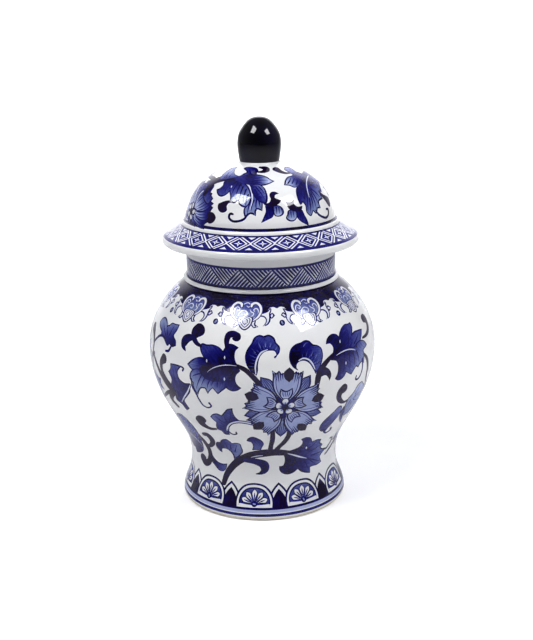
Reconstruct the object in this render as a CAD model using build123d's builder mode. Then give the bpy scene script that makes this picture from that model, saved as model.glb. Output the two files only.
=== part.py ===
"""A covered porcelain ginger jar: a baluster body, a domed lid with a wide brim, and the lid's knob.

Frame: origin on the axis at the plane the foot stands on, +Z up, millimetres.
Every piece is turned, so each one is a half section in the XZ plane, revolved about Z.
"""

import os
from math import cos, radians, sin

from build123d import *

# ---- driving dimensions -------------------------------------------------------------------------
overall_height = 254.0

belly_radius = 75.3
belly_height = 104.0
waist_radius = 49.6
waist_height = 27.5
foot_radius = 55.7
neck_radius = 48.6
rim_height = 175.0
wall = 4.4

bead_radius = 51.0
bead_height = 151.3
bead_half_width = 1.7

foot_ring_width = 3.6
foot_round = 2.2
foot_recess = 4.2
foot_recess_draft = 1.2
floor_thickness = 5.0
rim_round = 1.3

dome_radius = 49.0
dome_foot_height = 189.6
brim_radius = 64.0
brim_height = 177.0
brim_edge_round = 2.9
brim_step = 2.3
collar_clearance = 1.0
collar_length = 9.0
collar_wall = 3.2
collar_draft = 0.4
collar_straight = 3.0
seat_overhang = 2.0

seat_radius = 13.4
seat_height = 226.0
seat_rise = 0.7
knob_foot_radius = 12.9
knob_foot_round = 0.6
knob_radius = 14.1
knob_widest_height = 237.2
socket_radius = 5.0
socket_depth = 4.0
luting_gap = 0.2
tenon_length = 3.5

# ---- values that follow from them ---------------------------------------------------------------
ring_bore = foot_radius - foot_round - foot_ring_width
neck_bore = neck_radius - wall
floor_height = foot_recess + floor_thickness
throat_height = bead_height + 5.3
collar_radius = neck_bore - collar_clearance
collar_bore = collar_radius - collar_wall

# The side of the body, from just above the foot's rounded edge to the underside of the bead.
side_points = [
    (foot_radius, foot_round),
    (foot_radius - 2.6, 11.5),
    (waist_radius + 0.7, 20.0),
    (waist_radius, waist_height),
    (waist_radius + 2.2, 42.0),
    (belly_radius - 16.6, 56.0),
    (belly_radius - 7.9, 72.0),
    (belly_radius - 2.1, 88.0),
    (belly_radius, belly_height),
    (belly_radius - 1.8, 118.0),
    (belly_radius - 6.9, 130.0),
    (belly_radius - 14.0, 140.0),
    (bead_radius - 0.6, bead_height - bead_half_width + 0.3),
]

# The dome of the lid, from the knob's seat down to the step above the brim.
dome_points = [
    (seat_radius, seat_height - seat_rise),
    (21.0, seat_height - 3.4),
    (dome_radius - 20.2, 219.0),
    (dome_radius - 12.1, 213.6),
    (dome_radius - 5.8, 206.2),
    (dome_radius - 1.7, 197.0),
    (dome_radius, dome_foot_height),
]

# The knob, from just above its rounded foot up to its tip.
egg_points = [
    (knob_foot_radius, seat_height + knob_foot_round),
    (knob_radius - 0.4, knob_widest_height - 5.2),
    (knob_radius, knob_widest_height),
    (knob_radius - 1.05, knob_widest_height + 6.3),
    (knob_radius - 3.5, knob_widest_height + 10.6),
    (knob_radius - 7.9, knob_widest_height + 15.2),
    (0, overall_height),
]


def inside(curve, thickness, shares):
    """Points a wall's thickness to the left of a curve, at shares of its length."""
    points = []
    for share in shares:
        along = curve % share
        points.append(curve @ share + Vector(-along.Y, along.X) * thickness)
    return points


def shares(first, last, count):
    """Evenly spaced shares of a curve's length."""
    return [first + (last - first) * i / (count - 1) for i in range(count)]


def ring_edges(piece, height, radius):
    """The circular edges of a turned piece at a height and radius."""
    circles = piece.edges().filter_by(GeomType.CIRCLE)
    near = circles.filter_by_position(Axis.Z, height - 0.05, height + 0.05)
    return near.filter_by(lambda edge: abs(edge.radius - radius) < 0.05)


# Shares of the side's length between which the hollow follows it, from the throat to the waist.
hollow_from = 0.985
hollow_to = 0.165

# The dome's hollow follows the dome between these shares of its length, then crosses under the crown.
dome_hollow_from = 0.86
crown_share = 0.34

# How far the brim's rounded edge turns up from level before the brim's top begins.
edge_turn = radians(50)

# ---- jar body: foot ring, waist, belly, shoulder, bead, neck and rim in one casting --------------
with BuildPart() as jar_body:
    with BuildSketch(Plane.XZ):
        with BuildLine():
            side = Spline(*side_points, tangents=[(-0.08, 1), (-0.80, 0.60)])
            bead = ThreePointArc(
                side @ 1,
                (bead_radius, bead_height),
                (neck_radius, bead_height + bead_half_width),
            )
            neck = Line(bead @ 1, (neck_radius, rim_height))
            rim = Line(neck @ 1, (neck_bore, rim_height))
            bore = Line(rim @ 1, (neck_bore, throat_height))
            cavity = Spline(*inside(side, wall, shares(hollow_from, hollow_to, 15)))
            throat = TangentArc(bore @ 1, cavity @ 0, tangent=(0, -1))
            heel_radius = (cavity @ 1).Y - floor_height
            heel_end = ((cavity @ 1).X - heel_radius, floor_height)
            heel = TangentArc(cavity @ 1, heel_end, tangent=cavity % 1)
            floor = Line(heel @ 1, (0, floor_height))
            axis_line = Line(floor @ 1, (0, foot_recess))
            recess = Line(axis_line @ 1, (ring_bore - foot_recess_draft, foot_recess))
            ring_inside = Line(recess @ 1, (ring_bore, 0))
            ring_face = Line(ring_inside @ 1, (foot_radius - foot_round, 0))
            foot_edge = RadiusArc(ring_face @ 1, side @ 0, -foot_round)
        make_face()
    revolve(axis=Axis.Z)
    fillet(ring_edges(jar_body, rim_height, neck_radius), rim_round)
    fillet(ring_edges(jar_body, rim_height, neck_bore), rim_round)
    fillet(ring_edges(jar_body, 0, ring_bore), foot_round / 4)
jar_body.part.label = "jar_body"

# ---- lid: dome, brim and the collar that hangs inside the neck ------------------------------------
with BuildPart() as lid:
    with BuildSketch(Plane.XZ):
        with BuildLine():
            socket_floor = Line(
                (0, seat_height - socket_depth), (socket_radius, seat_height - socket_depth)
            )
            socket_wall = Line(socket_floor @ 1, (socket_radius, seat_height))
            seat = Line(socket_wall @ 1, (seat_radius - seat_rise, seat_height))
            seat_edge = RadiusArc(seat @ 1, (seat_radius, seat_height - seat_rise), seat_rise)
            dome = Spline(*dome_points, tangents=[(1, -0.22), (0.04, -1)])
            step = ThreePointArc(
                dome @ 1,
                (dome_radius + 0.75 * brim_step, dome_foot_height - 0.45 * brim_step),
                (dome_radius + brim_step, dome_foot_height - 1.3 * brim_step),
            )
            edge_centre = (brim_radius - brim_edge_round, brim_height)
            brim_top_end = (
                edge_centre[0] + brim_edge_round * cos(edge_turn),
                edge_centre[1] + brim_edge_round * sin(edge_turn),
            )
            brim_top = Line(step @ 1, brim_top_end)
            brim_edge = ThreePointArc(
                brim_top @ 1,
                (brim_radius, brim_height),
                (edge_centre[0], edge_centre[1] - brim_edge_round),
            )
            brim_under = Line(brim_edge @ 1, (neck_radius + seat_overhang, rim_height))
            seat_under = Line(brim_under @ 1, (collar_radius, rim_height))
            collar_out = Line(
                seat_under @ 1, (collar_radius - collar_draft, rim_height - collar_length)
            )
            collar_end = Line(collar_out @ 1, (collar_bore, rim_height - collar_length))
            collar_in = Line(collar_end @ 1, (collar_bore, rim_height + collar_straight))
            dome_hollow = Spline(
                collar_in @ 1,
                *inside(dome, -wall, shares(dome_hollow_from, crown_share, 6)),
                tangents=[(0.1, 1), -(dome % crown_share)],
            )
            crown_under = (0, seat_height - socket_depth - wall)
            ceiling = Spline(dome_hollow @ 1, crown_under, tangents=[dome_hollow % 1, (-1, 0)])
            crown = Line(ceiling @ 1, socket_floor @ 0)
        make_face()
    revolve(axis=Axis.Z)
    collar_bottom = rim_height - collar_length
    fillet(ring_edges(lid, collar_bottom, collar_radius - collar_draft), collar_wall / 3)
    fillet(ring_edges(lid, collar_bottom, collar_bore), collar_wall / 3)
lid.part.label = "lid"

# ---- knob: an egg-shaped finial whose tenon is luted into the socket in the lid's crown -----------
with BuildPart() as knob:
    with BuildSketch(Plane.XZ):
        with BuildLine():
            tenon_radius = socket_radius - luting_gap
            tenon_foot = seat_height - tenon_length
            tenon_end = Line((0, tenon_foot), (tenon_radius, tenon_foot))
            tenon_side = Line(tenon_end @ 1, (tenon_radius, seat_height))
            knob_face = Line(tenon_side @ 1, (knob_foot_radius - knob_foot_round, seat_height))
            knob_corner = RadiusArc(knob_face @ 1, egg_points[0], -knob_foot_round)
            egg = Spline(*egg_points, tangents=[(0.15, 1), (-1, 0)])
            Line(egg @ 1, tenon_end @ 0)
        make_face()
    revolve(axis=Axis.Z)
knob.part.label = "knob"

# ---- one STEP file for each piece ------------------------------------------------------------------
os.makedirs("parts", exist_ok=True)
for piece in (jar_body, lid, knob):
    export_step(piece.part, f"parts/{piece.part.label}.step")
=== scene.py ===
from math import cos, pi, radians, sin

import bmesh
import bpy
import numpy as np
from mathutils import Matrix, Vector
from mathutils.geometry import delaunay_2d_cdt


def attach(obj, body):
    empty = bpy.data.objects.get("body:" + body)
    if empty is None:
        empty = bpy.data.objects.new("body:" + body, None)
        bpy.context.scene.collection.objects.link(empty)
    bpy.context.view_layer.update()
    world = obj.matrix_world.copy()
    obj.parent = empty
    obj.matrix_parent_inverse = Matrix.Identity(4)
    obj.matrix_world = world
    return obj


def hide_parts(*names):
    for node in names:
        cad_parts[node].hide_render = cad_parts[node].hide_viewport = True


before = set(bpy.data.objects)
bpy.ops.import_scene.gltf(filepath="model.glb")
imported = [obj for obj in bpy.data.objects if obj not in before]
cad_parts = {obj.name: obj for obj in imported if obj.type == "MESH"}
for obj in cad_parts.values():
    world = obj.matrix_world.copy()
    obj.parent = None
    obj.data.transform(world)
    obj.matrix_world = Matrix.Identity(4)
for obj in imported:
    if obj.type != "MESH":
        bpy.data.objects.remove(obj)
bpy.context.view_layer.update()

# A covered ginger jar in white porcelain, painted in cobalt blue under a clear glaze.
#
# The jar and its lid are turned pieces. Each visual mesh follows the half section read from its CAD
# node. The painting is drawn on the unrolled surface as flat shapes, one over another, and the mesh
# is triangulated along the outlines of those shapes, so every brush mark is an area of the surface.
# On the unrolled surface a place is (x, s): x is millimetres round the piece from the middle of a
# chart, and s is millimetres along the section from a named start.

mm = 0.001
turn = 2 * pi
seam = -pi                                      # the unrolled surface runs from seam to seam + turn
sheet_scale = 60.0                              # mm for one radian, where round distances are only rough
weld_distance = 3e-6                            # m
outline_warmth = 0.1                            # an outline is this much warmer than its wash


# ---------------------------------------------------------------- curves
def polyline_lengths(points):
    """Distance along a run of points, starting at 0."""
    steps = np.hypot(*np.diff(points, axis=0).T)
    return np.concatenate([[0.0], np.cumsum(steps)])


def hermite(points, closed, step):
    """A smooth run through points (any number of columns), sampled about every step."""
    points = np.asarray(points, float)
    if len(points) < 3 and not closed:
        count = max(1, int(np.ceil(np.linalg.norm(points[-1][:2] - points[0][:2]) / step)))
        share = np.linspace(0, 1, count + 1)[:, None]
        return points[0] * (1 - share) + points[-1] * share
    if closed:
        ring = np.vstack([points[-1], points, points[0], points[1]])
    else:
        ring = np.vstack([2 * points[0] - points[1], points, 2 * points[-1] - points[-2]])
    gap = np.maximum(np.hypot(*(ring[1:, :2] - ring[:-1, :2]).T), 1e-6)[:, None]
    slope = (ring[1:] - ring[:-1]) / gap
    tangent = (slope[:-1] * gap[1:] + slope[1:] * gap[:-1]) / (gap[:-1] + gap[1:])
    pieces = []
    for i in range(1, len(ring) - 2):
        length = gap[i, 0]
        count = max(2, int(np.ceil(length / step)))
        t = np.linspace(0, 1, count, endpoint=False)[:, None]
        pieces.append(
            (2 * t**3 - 3 * t**2 + 1) * ring[i]
            + (t**3 - 2 * t**2 + t) * length * tangent[i - 1]
            + (3 * t**2 - 2 * t**3) * ring[i + 1]
            + (t**3 - t**2) * length * tangent[i]
        )
    if not closed:
        pieces.append(points[-1][None])
    return np.vstack(pieces)


def outline(points, step=0.8):
    """A closed smooth outline. A point with a third value is a sharp corner."""
    corners = [i for i, p in enumerate(points) if len(p) > 2]
    flat = [p[:2] for p in points]
    if not corners:
        return hermite(flat, True, step)
    flat = flat[corners[0]:] + flat[: corners[0]]
    stops = [c - corners[0] for c in corners] + [len(flat)]
    flat.append(flat[0])
    runs = [hermite(flat[a: b + 1], False, step)[:-1] for a, b in zip(stops, stops[1:])]
    return np.vstack(runs)


def divided(ring, longest=1.6):
    """A closed outline with points added where two are far apart."""
    ahead = np.roll(ring, -1, axis=0)
    runs = []
    for a, b in zip(ring, ahead):
        count = int(np.ceil(np.hypot(*(b - a)) / longest)) or 1
        runs.append(a + (b - a) * np.arange(count)[:, None] / count)
    return np.vstack(runs)


def inset(ring, distance):
    """A closed outline moved inwards by a distance, given once or point by point."""
    before = np.roll(ring, 1, axis=0)
    after = np.roll(ring, -1, axis=0)
    along = after - before
    along /= np.maximum(np.hypot(*along.T), 1e-9)[:, None]
    inward = np.stack([-along[:, 1], along[:, 0]], 1)
    area = np.sum(before[:, 0] * ring[:, 1] - before[:, 1] * ring[:, 0])
    distance = np.broadcast_to(distance, len(ring))[:, None]
    return ring + inward * distance * (1 if area > 0 else -1)


# ---------------------------------------------------------------- sections read from the CAD nodes
def half_section(node):
    """The node's outline in the +X half of the XZ plane, in order, as (radius, height) in mm."""
    mesh = bmesh.new()
    mesh.from_mesh(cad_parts[node].data)
    bmesh.ops.remove_doubles(mesh, verts=mesh.verts, dist=1e-5)
    on_seam = [v for v in mesh.verts if abs(v.co.y) < 1e-6 and v.co.x > 1e-4]
    chosen = set(on_seam)
    beside = {
        v: [e.other_vert(v) for e in v.link_edges if e.other_vert(v) in chosen] for v in on_seam
    }
    first = next(v for v in on_seam if len(beside[v]) == 1)
    chain = [first]
    while True:
        onward = [v for v in beside[chain[-1]] if v not in chain[-2:]]
        if not onward or onward[0] is first:
            break
        chain.append(onward[0])
    points = np.array([(v.co.x / mm, v.co.z / mm) for v in chain])
    mesh.free()
    return points


class Section:
    """A stretch of a turned piece's outline, measured by s in mm, with the outward normal."""

    def __init__(self, points, origin, corner=radians(24)):
        bend = []
        for i in range(1, len(points) - 1):
            a = points[i] - points[i - 1]
            b = points[i + 1] - points[i]
            bend.append(abs(np.arctan2(a[0] * b[1] - a[1] * b[0], a @ b)))
        stops = [0] + [i + 1 for i, angle in enumerate(bend) if angle > corner] + [len(points) - 1]
        s, place, normal = [], [], []
        self.corners = []
        at = 0.0
        for a, b in zip(stops, stops[1:]):
            run = hermite(points[a: b + 1], False, 0.1)
            length = polyline_lengths(run)
            slope = np.gradient(run, length, axis=0)
            slope /= np.hypot(*slope.T)[:, None]
            s.append(at + length + np.where(length == 0, 1e-7, 0) - np.where(length == length[-1], 1e-7, 0))
            place.append(run)
            normal.append(np.stack([slope[:, 1], -slope[:, 0]], 1))
            at += length[-1]
            self.corners.append(at)
        self.corners.pop()
        self.s = np.concatenate(s)
        self.place = np.vstack(place)
        self.normals = np.vstack(normal)
        shift = self.near(origin)
        self.s = self.s - shift
        self.corners = [c - shift for c in self.corners]

    def radius(self, s):
        return np.interp(s, self.s, self.place[:, 0])

    def height(self, s):
        return np.interp(s, self.s, self.place[:, 1])

    def near(self, place):
        """The s of the point nearest a (radius, height)."""
        return float(self.s[np.argmin(np.hypot(*(self.place - place).T))])

    def normal(self, s):
        found = [np.interp(s, self.s, self.normals[:, i]) for i in (0, 1)]
        size = np.hypot(*found)
        return found[0] / size, found[1] / size

    def rows(self, longest, turn_limit=radians(7)):
        """Places along the section, close together where it bends."""
        fine = np.arange(self.s[0], self.s[-1], 0.05)
        r, z = self.normal(fine)
        facing = np.unwrap(np.arctan2(z, r))
        rows = [self.s[0]]
        marks = sorted(self.corners) + [self.s[-1]]
        last = 0
        for i in range(1, len(fine)):
            if marks and fine[i] >= marks[0] - 0.02:
                rows.append(marks.pop(0))
                last = min(i + 1, len(fine) - 1)
            elif fine[i] - rows[-1] > longest or abs(facing[i] - facing[last]) > turn_limit:
                rows.append(fine[i])
                last = i
        rows.extend(marks)
        return np.array(rows)


# ---------------------------------------------------------------- the painting
class Chart:
    """Places (x, s) in mm round a chosen direction of a section. Direction 0 faces -Y."""

    def __init__(self, section, centre=0.0, lift=0.0):
        self.section = section
        self.centre = centre
        self.lift = lift

    def spread(self, points):
        """(x, s) to (angle, s)."""
        points = np.asarray(points, float)
        s = points[:, 1] + self.lift
        return np.stack([self.centre + points[:, 0] / self.section.radius(s), s], 1)

    def local(self, places):
        """(angle, s) to (x, s)."""
        x = (places[:, 0] - self.centre) * self.section.radius(places[:, 1])
        return np.stack([x, places[:, 1] - self.lift], 1)


class Painting:
    """Areas of cobalt on an unrolled section. A later area covers an earlier one.

    Each area has tones, the strength of the blue at its start and at its end, and a warmth, which
    turns the blue towards the brown-black of the thickest cobalt.
    """

    def __init__(self, section, seed):
        self.section = section
        self.areas = []
        self.bands = []
        self.random = np.random.default_rng(seed)

    def band(self, low, high, tone, warmth=0.0):
        """A ring right round the piece."""
        self.bands.append((low, high))
        self.areas.append(("band", low, high, tone, warmth, self.random.random()))

    def area(self, chart, ring, tones, start=None, end=None, warmth=0.0, spine=None):
        """A closed area, with its tone running from start to end, or along a spine."""
        if start is None:
            start, end = ring.mean(0) + (0.0, 4.0), ring.mean(0) - (0.0, 4.0)
        guide = np.array([start, end]) if spine is None else spine
        placed = chart.spread(divided(ring))
        seed = self.random.random()
        for shift in (-2 * turn, -turn, 0.0, turn):
            copy = placed + (shift, 0.0)
            if copy[:, 0].max() > seam and copy[:, 0].min() < seam + turn:
                self.areas.append(("area", copy, chart, shift, guide, tones, warmth, seed))

    def pen_line(self, ring, pen):
        """The width of a brushed outline, point by point: it swells and thins twice on its way round."""
        wobble = np.cos(np.arange(len(ring)) * 4 * pi / len(ring) + self.random.uniform(0, turn))
        return pen * (1 + 0.25 * wobble)

    def wash(self, chart, points, tones, start=None, end=None, pen=0.62, ink=0.93, warmth=0.0):
        """An area with a brushed outline."""
        ring = outline(points)
        edge = self.pen_line(ring, pen)
        self.area(chart, ring, (ink, ink), start, end, outline_warmth + warmth)
        self.area(chart, inset(ring, edge), tones, start, end, warmth)

    def flat(self, chart, points, tones, start=None, end=None, warmth=0.0):
        """An area without an outline."""
        self.area(chart, outline(points), tones, start, end, warmth)

    def stroke(self, chart, points, tones=(0.93, 0.93), warmth=0.1, step=0.85):
        """A brush stroke through (x, s, half width) points, with round ends."""
        run = hermite(points, False, step)
        spine, half = run[:, :2], np.maximum(run[:, 2], 0.04)[:, None]
        along = np.gradient(spine, axis=0)
        along /= np.maximum(np.hypot(*along.T), 1e-9)[:, None]
        side = np.stack([-along[:, 1], along[:, 0]], 1)
        sides = [spine + side * half, spine - side * half]
        caps = []
        for end, way in ((-1, 1), (0, -1)):
            count = max(3, int(half[end, 0] * 3 / step) + 2)
            bend = np.linspace(0, pi, count)[1:-1, None]
            caps.append(
                spine[end] + half[end] * way * (np.cos(bend) * side[end] + np.sin(bend) * along[end])
            )
        ring = np.vstack([sides[0], caps[0], sides[1][::-1], caps[1]])
        self.area(chart, ring, tones, warmth=warmth, spine=spine)

    def drawn(self, chart, points, tones, pen=0.5, ink=0.9, warmth=0.0):
        """A brush stroke with an outline of ink round it."""
        wide = [(x, s, w + pen) for x, s, w in points]
        self.stroke(chart, wide, (ink, ink))
        self.stroke(chart, points, tones, warmth)


def inside(ring, places):
    """Which places lie inside a closed ring, by winding number."""
    ahead = np.roll(ring, -1, axis=0)
    wound = np.zeros(len(places), int)
    x, y = places[:, 0], places[:, 1]
    for (ax, ay), (bx, by) in zip(ring, ahead):
        left = (bx - ax) * (y - ay) - (x - ax) * (by - ay)
        wound += ((ay <= y) & (by > y) & (left > 0)).astype(int)
        wound -= ((ay > y) & (by <= y) & (left < 0)).astype(int)
    return wound != 0


def nearest_on(guide, points):
    """For each point: share along the guide, length along it and distance to its left."""
    lengths = polyline_lengths(guide)
    if len(guide) == 2:
        step = guide[1] - guide[0]
        size = max(np.hypot(*step), 1e-6)
        offset = points - guide[0]
        along = offset @ step / size
        across = (step[0] * offset[:, 1] - step[1] * offset[:, 0]) / size
        return np.clip(along / size, 0, 1), along, across
    gap = points[:, None, :] - guide[None, :, :]
    best = np.argmin((gap**2).sum(2), axis=1)
    slope = np.gradient(guide, axis=0)
    slope /= np.maximum(np.hypot(*slope.T), 1e-9)[:, None]
    offset = gap[np.arange(len(points)), best]
    heading = slope[best]
    along = lengths[best] + (offset * heading).sum(1)
    across = heading[:, 0] * offset[:, 1] - heading[:, 1] * offset[:, 0]
    return np.clip(along / lengths[-1], 0, 1), along, across


def painted_skin(painting, columns, longest):
    """Triangles for a painted section: corner places (angle, s) and three values a corner."""
    section = painting.section
    rows = section.rows(longest)
    edges_at = sorted({e for low, high in painting.bands for e in (low, high)} | set(section.corners))
    edges_at = [e for e in edges_at if rows[0] < e < rows[-1]] + [rows[0], rows[-1]]
    rows = np.array(sorted([r for r in rows if min(abs(r - e) for e in edges_at) > 0.15] + edges_at))
    angles = seam + np.linspace(0, turn, columns + 1)
    points = [np.stack([angles * sheet_scale, np.full(columns + 1, row)], 1) for row in rows]
    edges = []
    for level, row in enumerate(rows):
        first = level * (columns + 1)
        if row in edges_at:
            edges += [(first + i, first + i + 1) for i in range(columns)]
        if level:
            edges += [(first - columns - 1, first), (first - 1, first + columns)]
    count = len(rows) * (columns + 1)
    for area in painting.areas:
        if area[0] == "area":
            ring = area[1] * (sheet_scale, 1.0)
            points.append(ring)
            size = len(ring)
            edges += [(count + i, count + (i + 1) % size) for i in range(size)]
            count += size
    sheet = [Vector(p) for p in np.vstack(points)]
    corners, _, faces = delaunay_2d_cdt(sheet, edges, [], 0, 1e-3, False)[:3]
    places = np.array(corners, float) / (sheet_scale, 1.0)
    faces = np.array([f for f in faces if len(f) == 3])
    middle = places[faces].mean(1)
    keep = (middle[:, 0] > seam) & (middle[:, 0] < seam + turn)
    keep &= (middle[:, 1] > rows[0]) & (middle[:, 1] < rows[-1])
    faces, middle = faces[keep], middle[keep]
    values = np.zeros((len(faces), 3, 3))       # tone, warmth, seed
    brush = np.zeros((len(faces), 3, 3))        # length along the stroke, distance across it, 0
    flat_places = places[faces]
    brush[..., 0] = flat_places[..., 0] * sheet_scale
    brush[..., 1] = flat_places[..., 1]
    for area in painting.areas:
        if area[0] == "band":
            _, low, high, tone, warmth, seed = area
            hit = (middle[:, 1] > low) & (middle[:, 1] < high)
            values[hit] = (tone, warmth, seed)
            continue
        _, ring, chart, shift, guide, tones, warmth, seed = area
        low, high = ring.min(0), ring.max(0)
        near = np.nonzero(
            (middle[:, 0] > low[0]) & (middle[:, 0] < high[0])
            & (middle[:, 1] > low[1]) & (middle[:, 1] < high[1])
        )[0]
        near = near[inside(ring, middle[near])]
        if not len(near):
            continue
        local = chart.local(flat_places[near].reshape(-1, 2) - (shift, 0.0))
        share, along, across = nearest_on(guide, local)
        share, along, across = (a.reshape(-1, 3) for a in (share, along, across))
        values[near, :, 0] = tones[0] + (tones[1] - tones[0]) * share
        values[near, :, 1] = warmth
        values[near, :, 2] = seed
        brush[near, :, 0] = along
        brush[near, :, 1] = across
    return places, faces, middle, values, brush, rows


class Parts:
    """Faces gathered for one mesh, with a normal and the paint of every face corner."""

    def __init__(self):
        self.spots, self.loops, self.sizes, self.slots = [], [], [], []
        self.corner = {"facing": [], "paint": [], "brush": [], "layout": []}
        self.used = 0

    def add(self, spots, faces, slot, facing, paint, brush, layout):
        """Faces all of one size; the last four have a row of values for each face corner."""
        self.spots.append(spots)
        self.loops.append(faces.ravel() + self.used)
        self.sizes.append(np.full(len(faces), faces.shape[1]))
        self.slots.append(np.full(len(faces), slot))
        flat = np.zeros((faces.size, 1))
        for label, rows in (("facing", facing), ("paint", paint), ("brush", brush)):
            self.corner[label].append(np.reshape(rows, (-1, 3)))
        self.corner["layout"].append(np.hstack([np.reshape(layout, (-1, 2)), flat]))
        self.used += len(spots)

    def mesh(self, name):
        """The welded mesh, with its normals, its paint and its unwrapping."""
        mesh = bpy.data.meshes.new(name)
        spots = np.vstack(self.spots) * mm
        loops = np.concatenate(self.loops)
        sizes = np.concatenate(self.sizes)
        mesh.vertices.add(len(spots))
        mesh.vertices.foreach_set("co", spots.ravel())
        mesh.loops.add(len(loops))
        mesh.loops.foreach_set("vertex_index", loops.astype(np.int32))
        mesh.polygons.add(len(sizes))
        mesh.polygons.foreach_set("loop_start", np.concatenate([[0], np.cumsum(sizes)[:-1]]).astype(np.int32))
        mesh.polygons.foreach_set("material_index", np.concatenate(self.slots).astype(np.int32))
        for label, rows in self.corner.items():
            layer = mesh.attributes.new(label, "FLOAT_VECTOR", "CORNER")
            layer.data.foreach_set("vector", np.vstack(rows).astype(np.float32).ravel())
        mesh.update(calc_edges=True)
        welded = bmesh.new()
        welded.from_mesh(mesh)
        bmesh.ops.remove_doubles(welded, verts=welded.verts, dist=weld_distance)
        loose = [v for v in welded.verts if not v.link_faces]
        bmesh.ops.delete(welded, geom=loose, context="VERTS")
        welded.to_mesh(mesh)
        welded.free()
        facing = np.empty(len(mesh.loops) * 3, np.float32)
        mesh.attributes["facing"].data.foreach_get("vector", facing)
        layout = np.empty(len(mesh.loops) * 3, np.float32)
        mesh.attributes["layout"].data.foreach_get("vector", layout)
        mesh.attributes.remove(mesh.attributes["facing"])
        mesh.attributes.remove(mesh.attributes["layout"])
        unwrapped = mesh.uv_layers.new(name="OFBake")
        unwrapped.data.foreach_set("uv", layout.reshape(-1, 3)[:, :2].ravel())
        mesh.polygons.foreach_set("use_smooth", np.ones(len(mesh.polygons), bool))
        mesh.normals_split_custom_set(facing.reshape(-1, 3))
        return mesh


def round_axis(radius, angle, height):
    """The position at an angle from -Y, given the radius and the height."""
    return np.stack([radius * np.sin(angle), -radius * np.cos(angle), height], -1)


def add_painted(parts, painting, columns, longest, sheet):
    """The painted section, laid on the unwrapping between two heights of the sheet."""
    section = painting.section
    places, faces, middle, values, brush, rows = painted_skin(painting, columns, longest)
    spots = round_axis(section.radius(places[:, 1]), places[:, 0], section.height(places[:, 1]))
    angle, level = places[faces][..., 0], places[faces][..., 1]
    toward = level + (middle[:, 1, None] - level) * 1e-3
    nr, nz = section.normal(toward)
    share = (level - rows[0]) / (rows[-1] - rows[0])
    layout = np.stack([0.004 + 0.992 * (angle - seam) / turn, sheet[0] + (sheet[1] - sheet[0]) * share], -1)
    parts.add(spots, faces, 0, round_axis(nr, angle, nz), values, brush, layout)


def add_plain(parts, section, slot, columns, sheet, discs=(None, None)):
    """An unpainted section, with a disc across its start or its end where discs has a direction."""
    levels = section.rows(4.0)
    angles = seam + np.linspace(0, turn, columns, endpoint=False)
    spots = round_axis(
        np.repeat(section.radius(levels), columns),
        np.tile(angles, len(levels)),
        np.repeat(section.height(levels), columns),
    )
    i = np.arange(len(levels) - 1)[:, None] * columns
    j = np.arange(columns)[None, :]
    k = (j + 1) % columns
    quads = np.stack([i + j, i + k, i + columns + k, i + columns + j], -1).reshape(-1, 4)
    low, high = np.repeat(levels[:-1], columns), np.repeat(levels[1:], columns)
    level = np.stack([low, low, high, high], 1)
    nr, nz = section.normal(level + ((low + high)[:, None] / 2 - level) * 1e-3)
    angle = np.tile(np.stack([angles, angles + turn / columns], 1)[:, [0, 1, 1, 0]], (len(levels) - 1, 1))
    share = (level - levels[0]) / (levels[-1] - levels[0])
    layout = np.stack([0.1 + 0.896 * (angle - seam) / turn, sheet[0] + (sheet[1] - sheet[0]) * share], -1)
    blank = np.zeros((quads.size, 3))
    brush = np.stack([angle * sheet_scale, level, 0 * level], -1)
    parts.add(spots, quads, slot, round_axis(nr, angle, nz), blank, brush, layout)
    for place, up in enumerate(discs):
        if up:
            ring = spots[-columns:] if place else spots[:columns]
            corners = np.arange(columns)[None, ::(1 if place else -1)]
            spread = np.array([np.sin(angles), np.cos(angles)]).T[corners[0]]
            disc = np.array([0.045, (sheet[0] + sheet[1]) / 2]) + spread * 0.4 * (sheet[1] - sheet[0])
            blank = np.zeros((columns, 3))
            parts.add(ring, corners, slot, blank + (0, 0, up), blank, blank, disc)


# ---------------------------------------------------------------- motifs of the flower scroll
def turned(points, centre, angle, size=1.0):
    """Points given as (out, left) about a centre, turned to an angle in degrees."""
    c, s = cos(radians(angle)) * size, sin(radians(angle)) * size
    return [(centre[0] + u * c - v * s, centre[1] + u * s + v * c, *rest) for u, v, *rest in points]


def circle(across, tall, count, centre=(0.0, 0.0)):
    """Points round an ellipse, given its two half sizes."""
    angles = np.linspace(0, turn, count + 1)[:-1]
    return [(centre[0] + across * cos(a), centre[1] + tall * sin(a)) for a in angles]


def veins(art, chart, ends, widths, tones=(0.95, 0.85), warmth=0.1, bend=(0.0, 0.0)):
    """Thin strokes, each from (x, s) to (x, s). A third width is for the middle, which bend moves."""
    for x0, s0, x1, s1 in ends:
        run = [(x0, s0, widths[0]), (x1, s1, widths[-1])]
        if len(widths) == 3:
            run.insert(1, ((x0 + x1) / 2 + bend[0], (s0 + s1) / 2 + bend[1], widths[1]))
        art.stroke(chart, run, tones, warmth)


def comma(art, chart, points, tone=0.97, warmth=0.45):
    """A dark bud on a curled stalk: a stroke that swells to its head."""
    art.stroke(chart, points, (tone, tone), warmth)


def stem(art, chart, points, warmth=0.75):
    """A stroke of the darkest, brownest cobalt."""
    art.stroke(chart, points, (0.97, 0.97), warmth)


def reserve(art, chart, points, edge=0.0):
    """A line left white, with ink beside it if it has an edge."""
    if edge:
        art.stroke(chart, [(x, s, w + edge) for x, s, w in points], (0.9, 0.9))
    art.stroke(chart, points, (0.12, 0.16), 0.0)


def dots(art, chart, places, size=0.75):
    """Small gaps left white where the lobes of a leaf meet."""
    for x, s in places:
        ring = [(x - size * 0.6, s), (x, s - size * 1.3), (x + size * 0.6, s), (x, s + size * 1.3)]
        art.flat(chart, ring, (0.15, 0.15))


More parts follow.
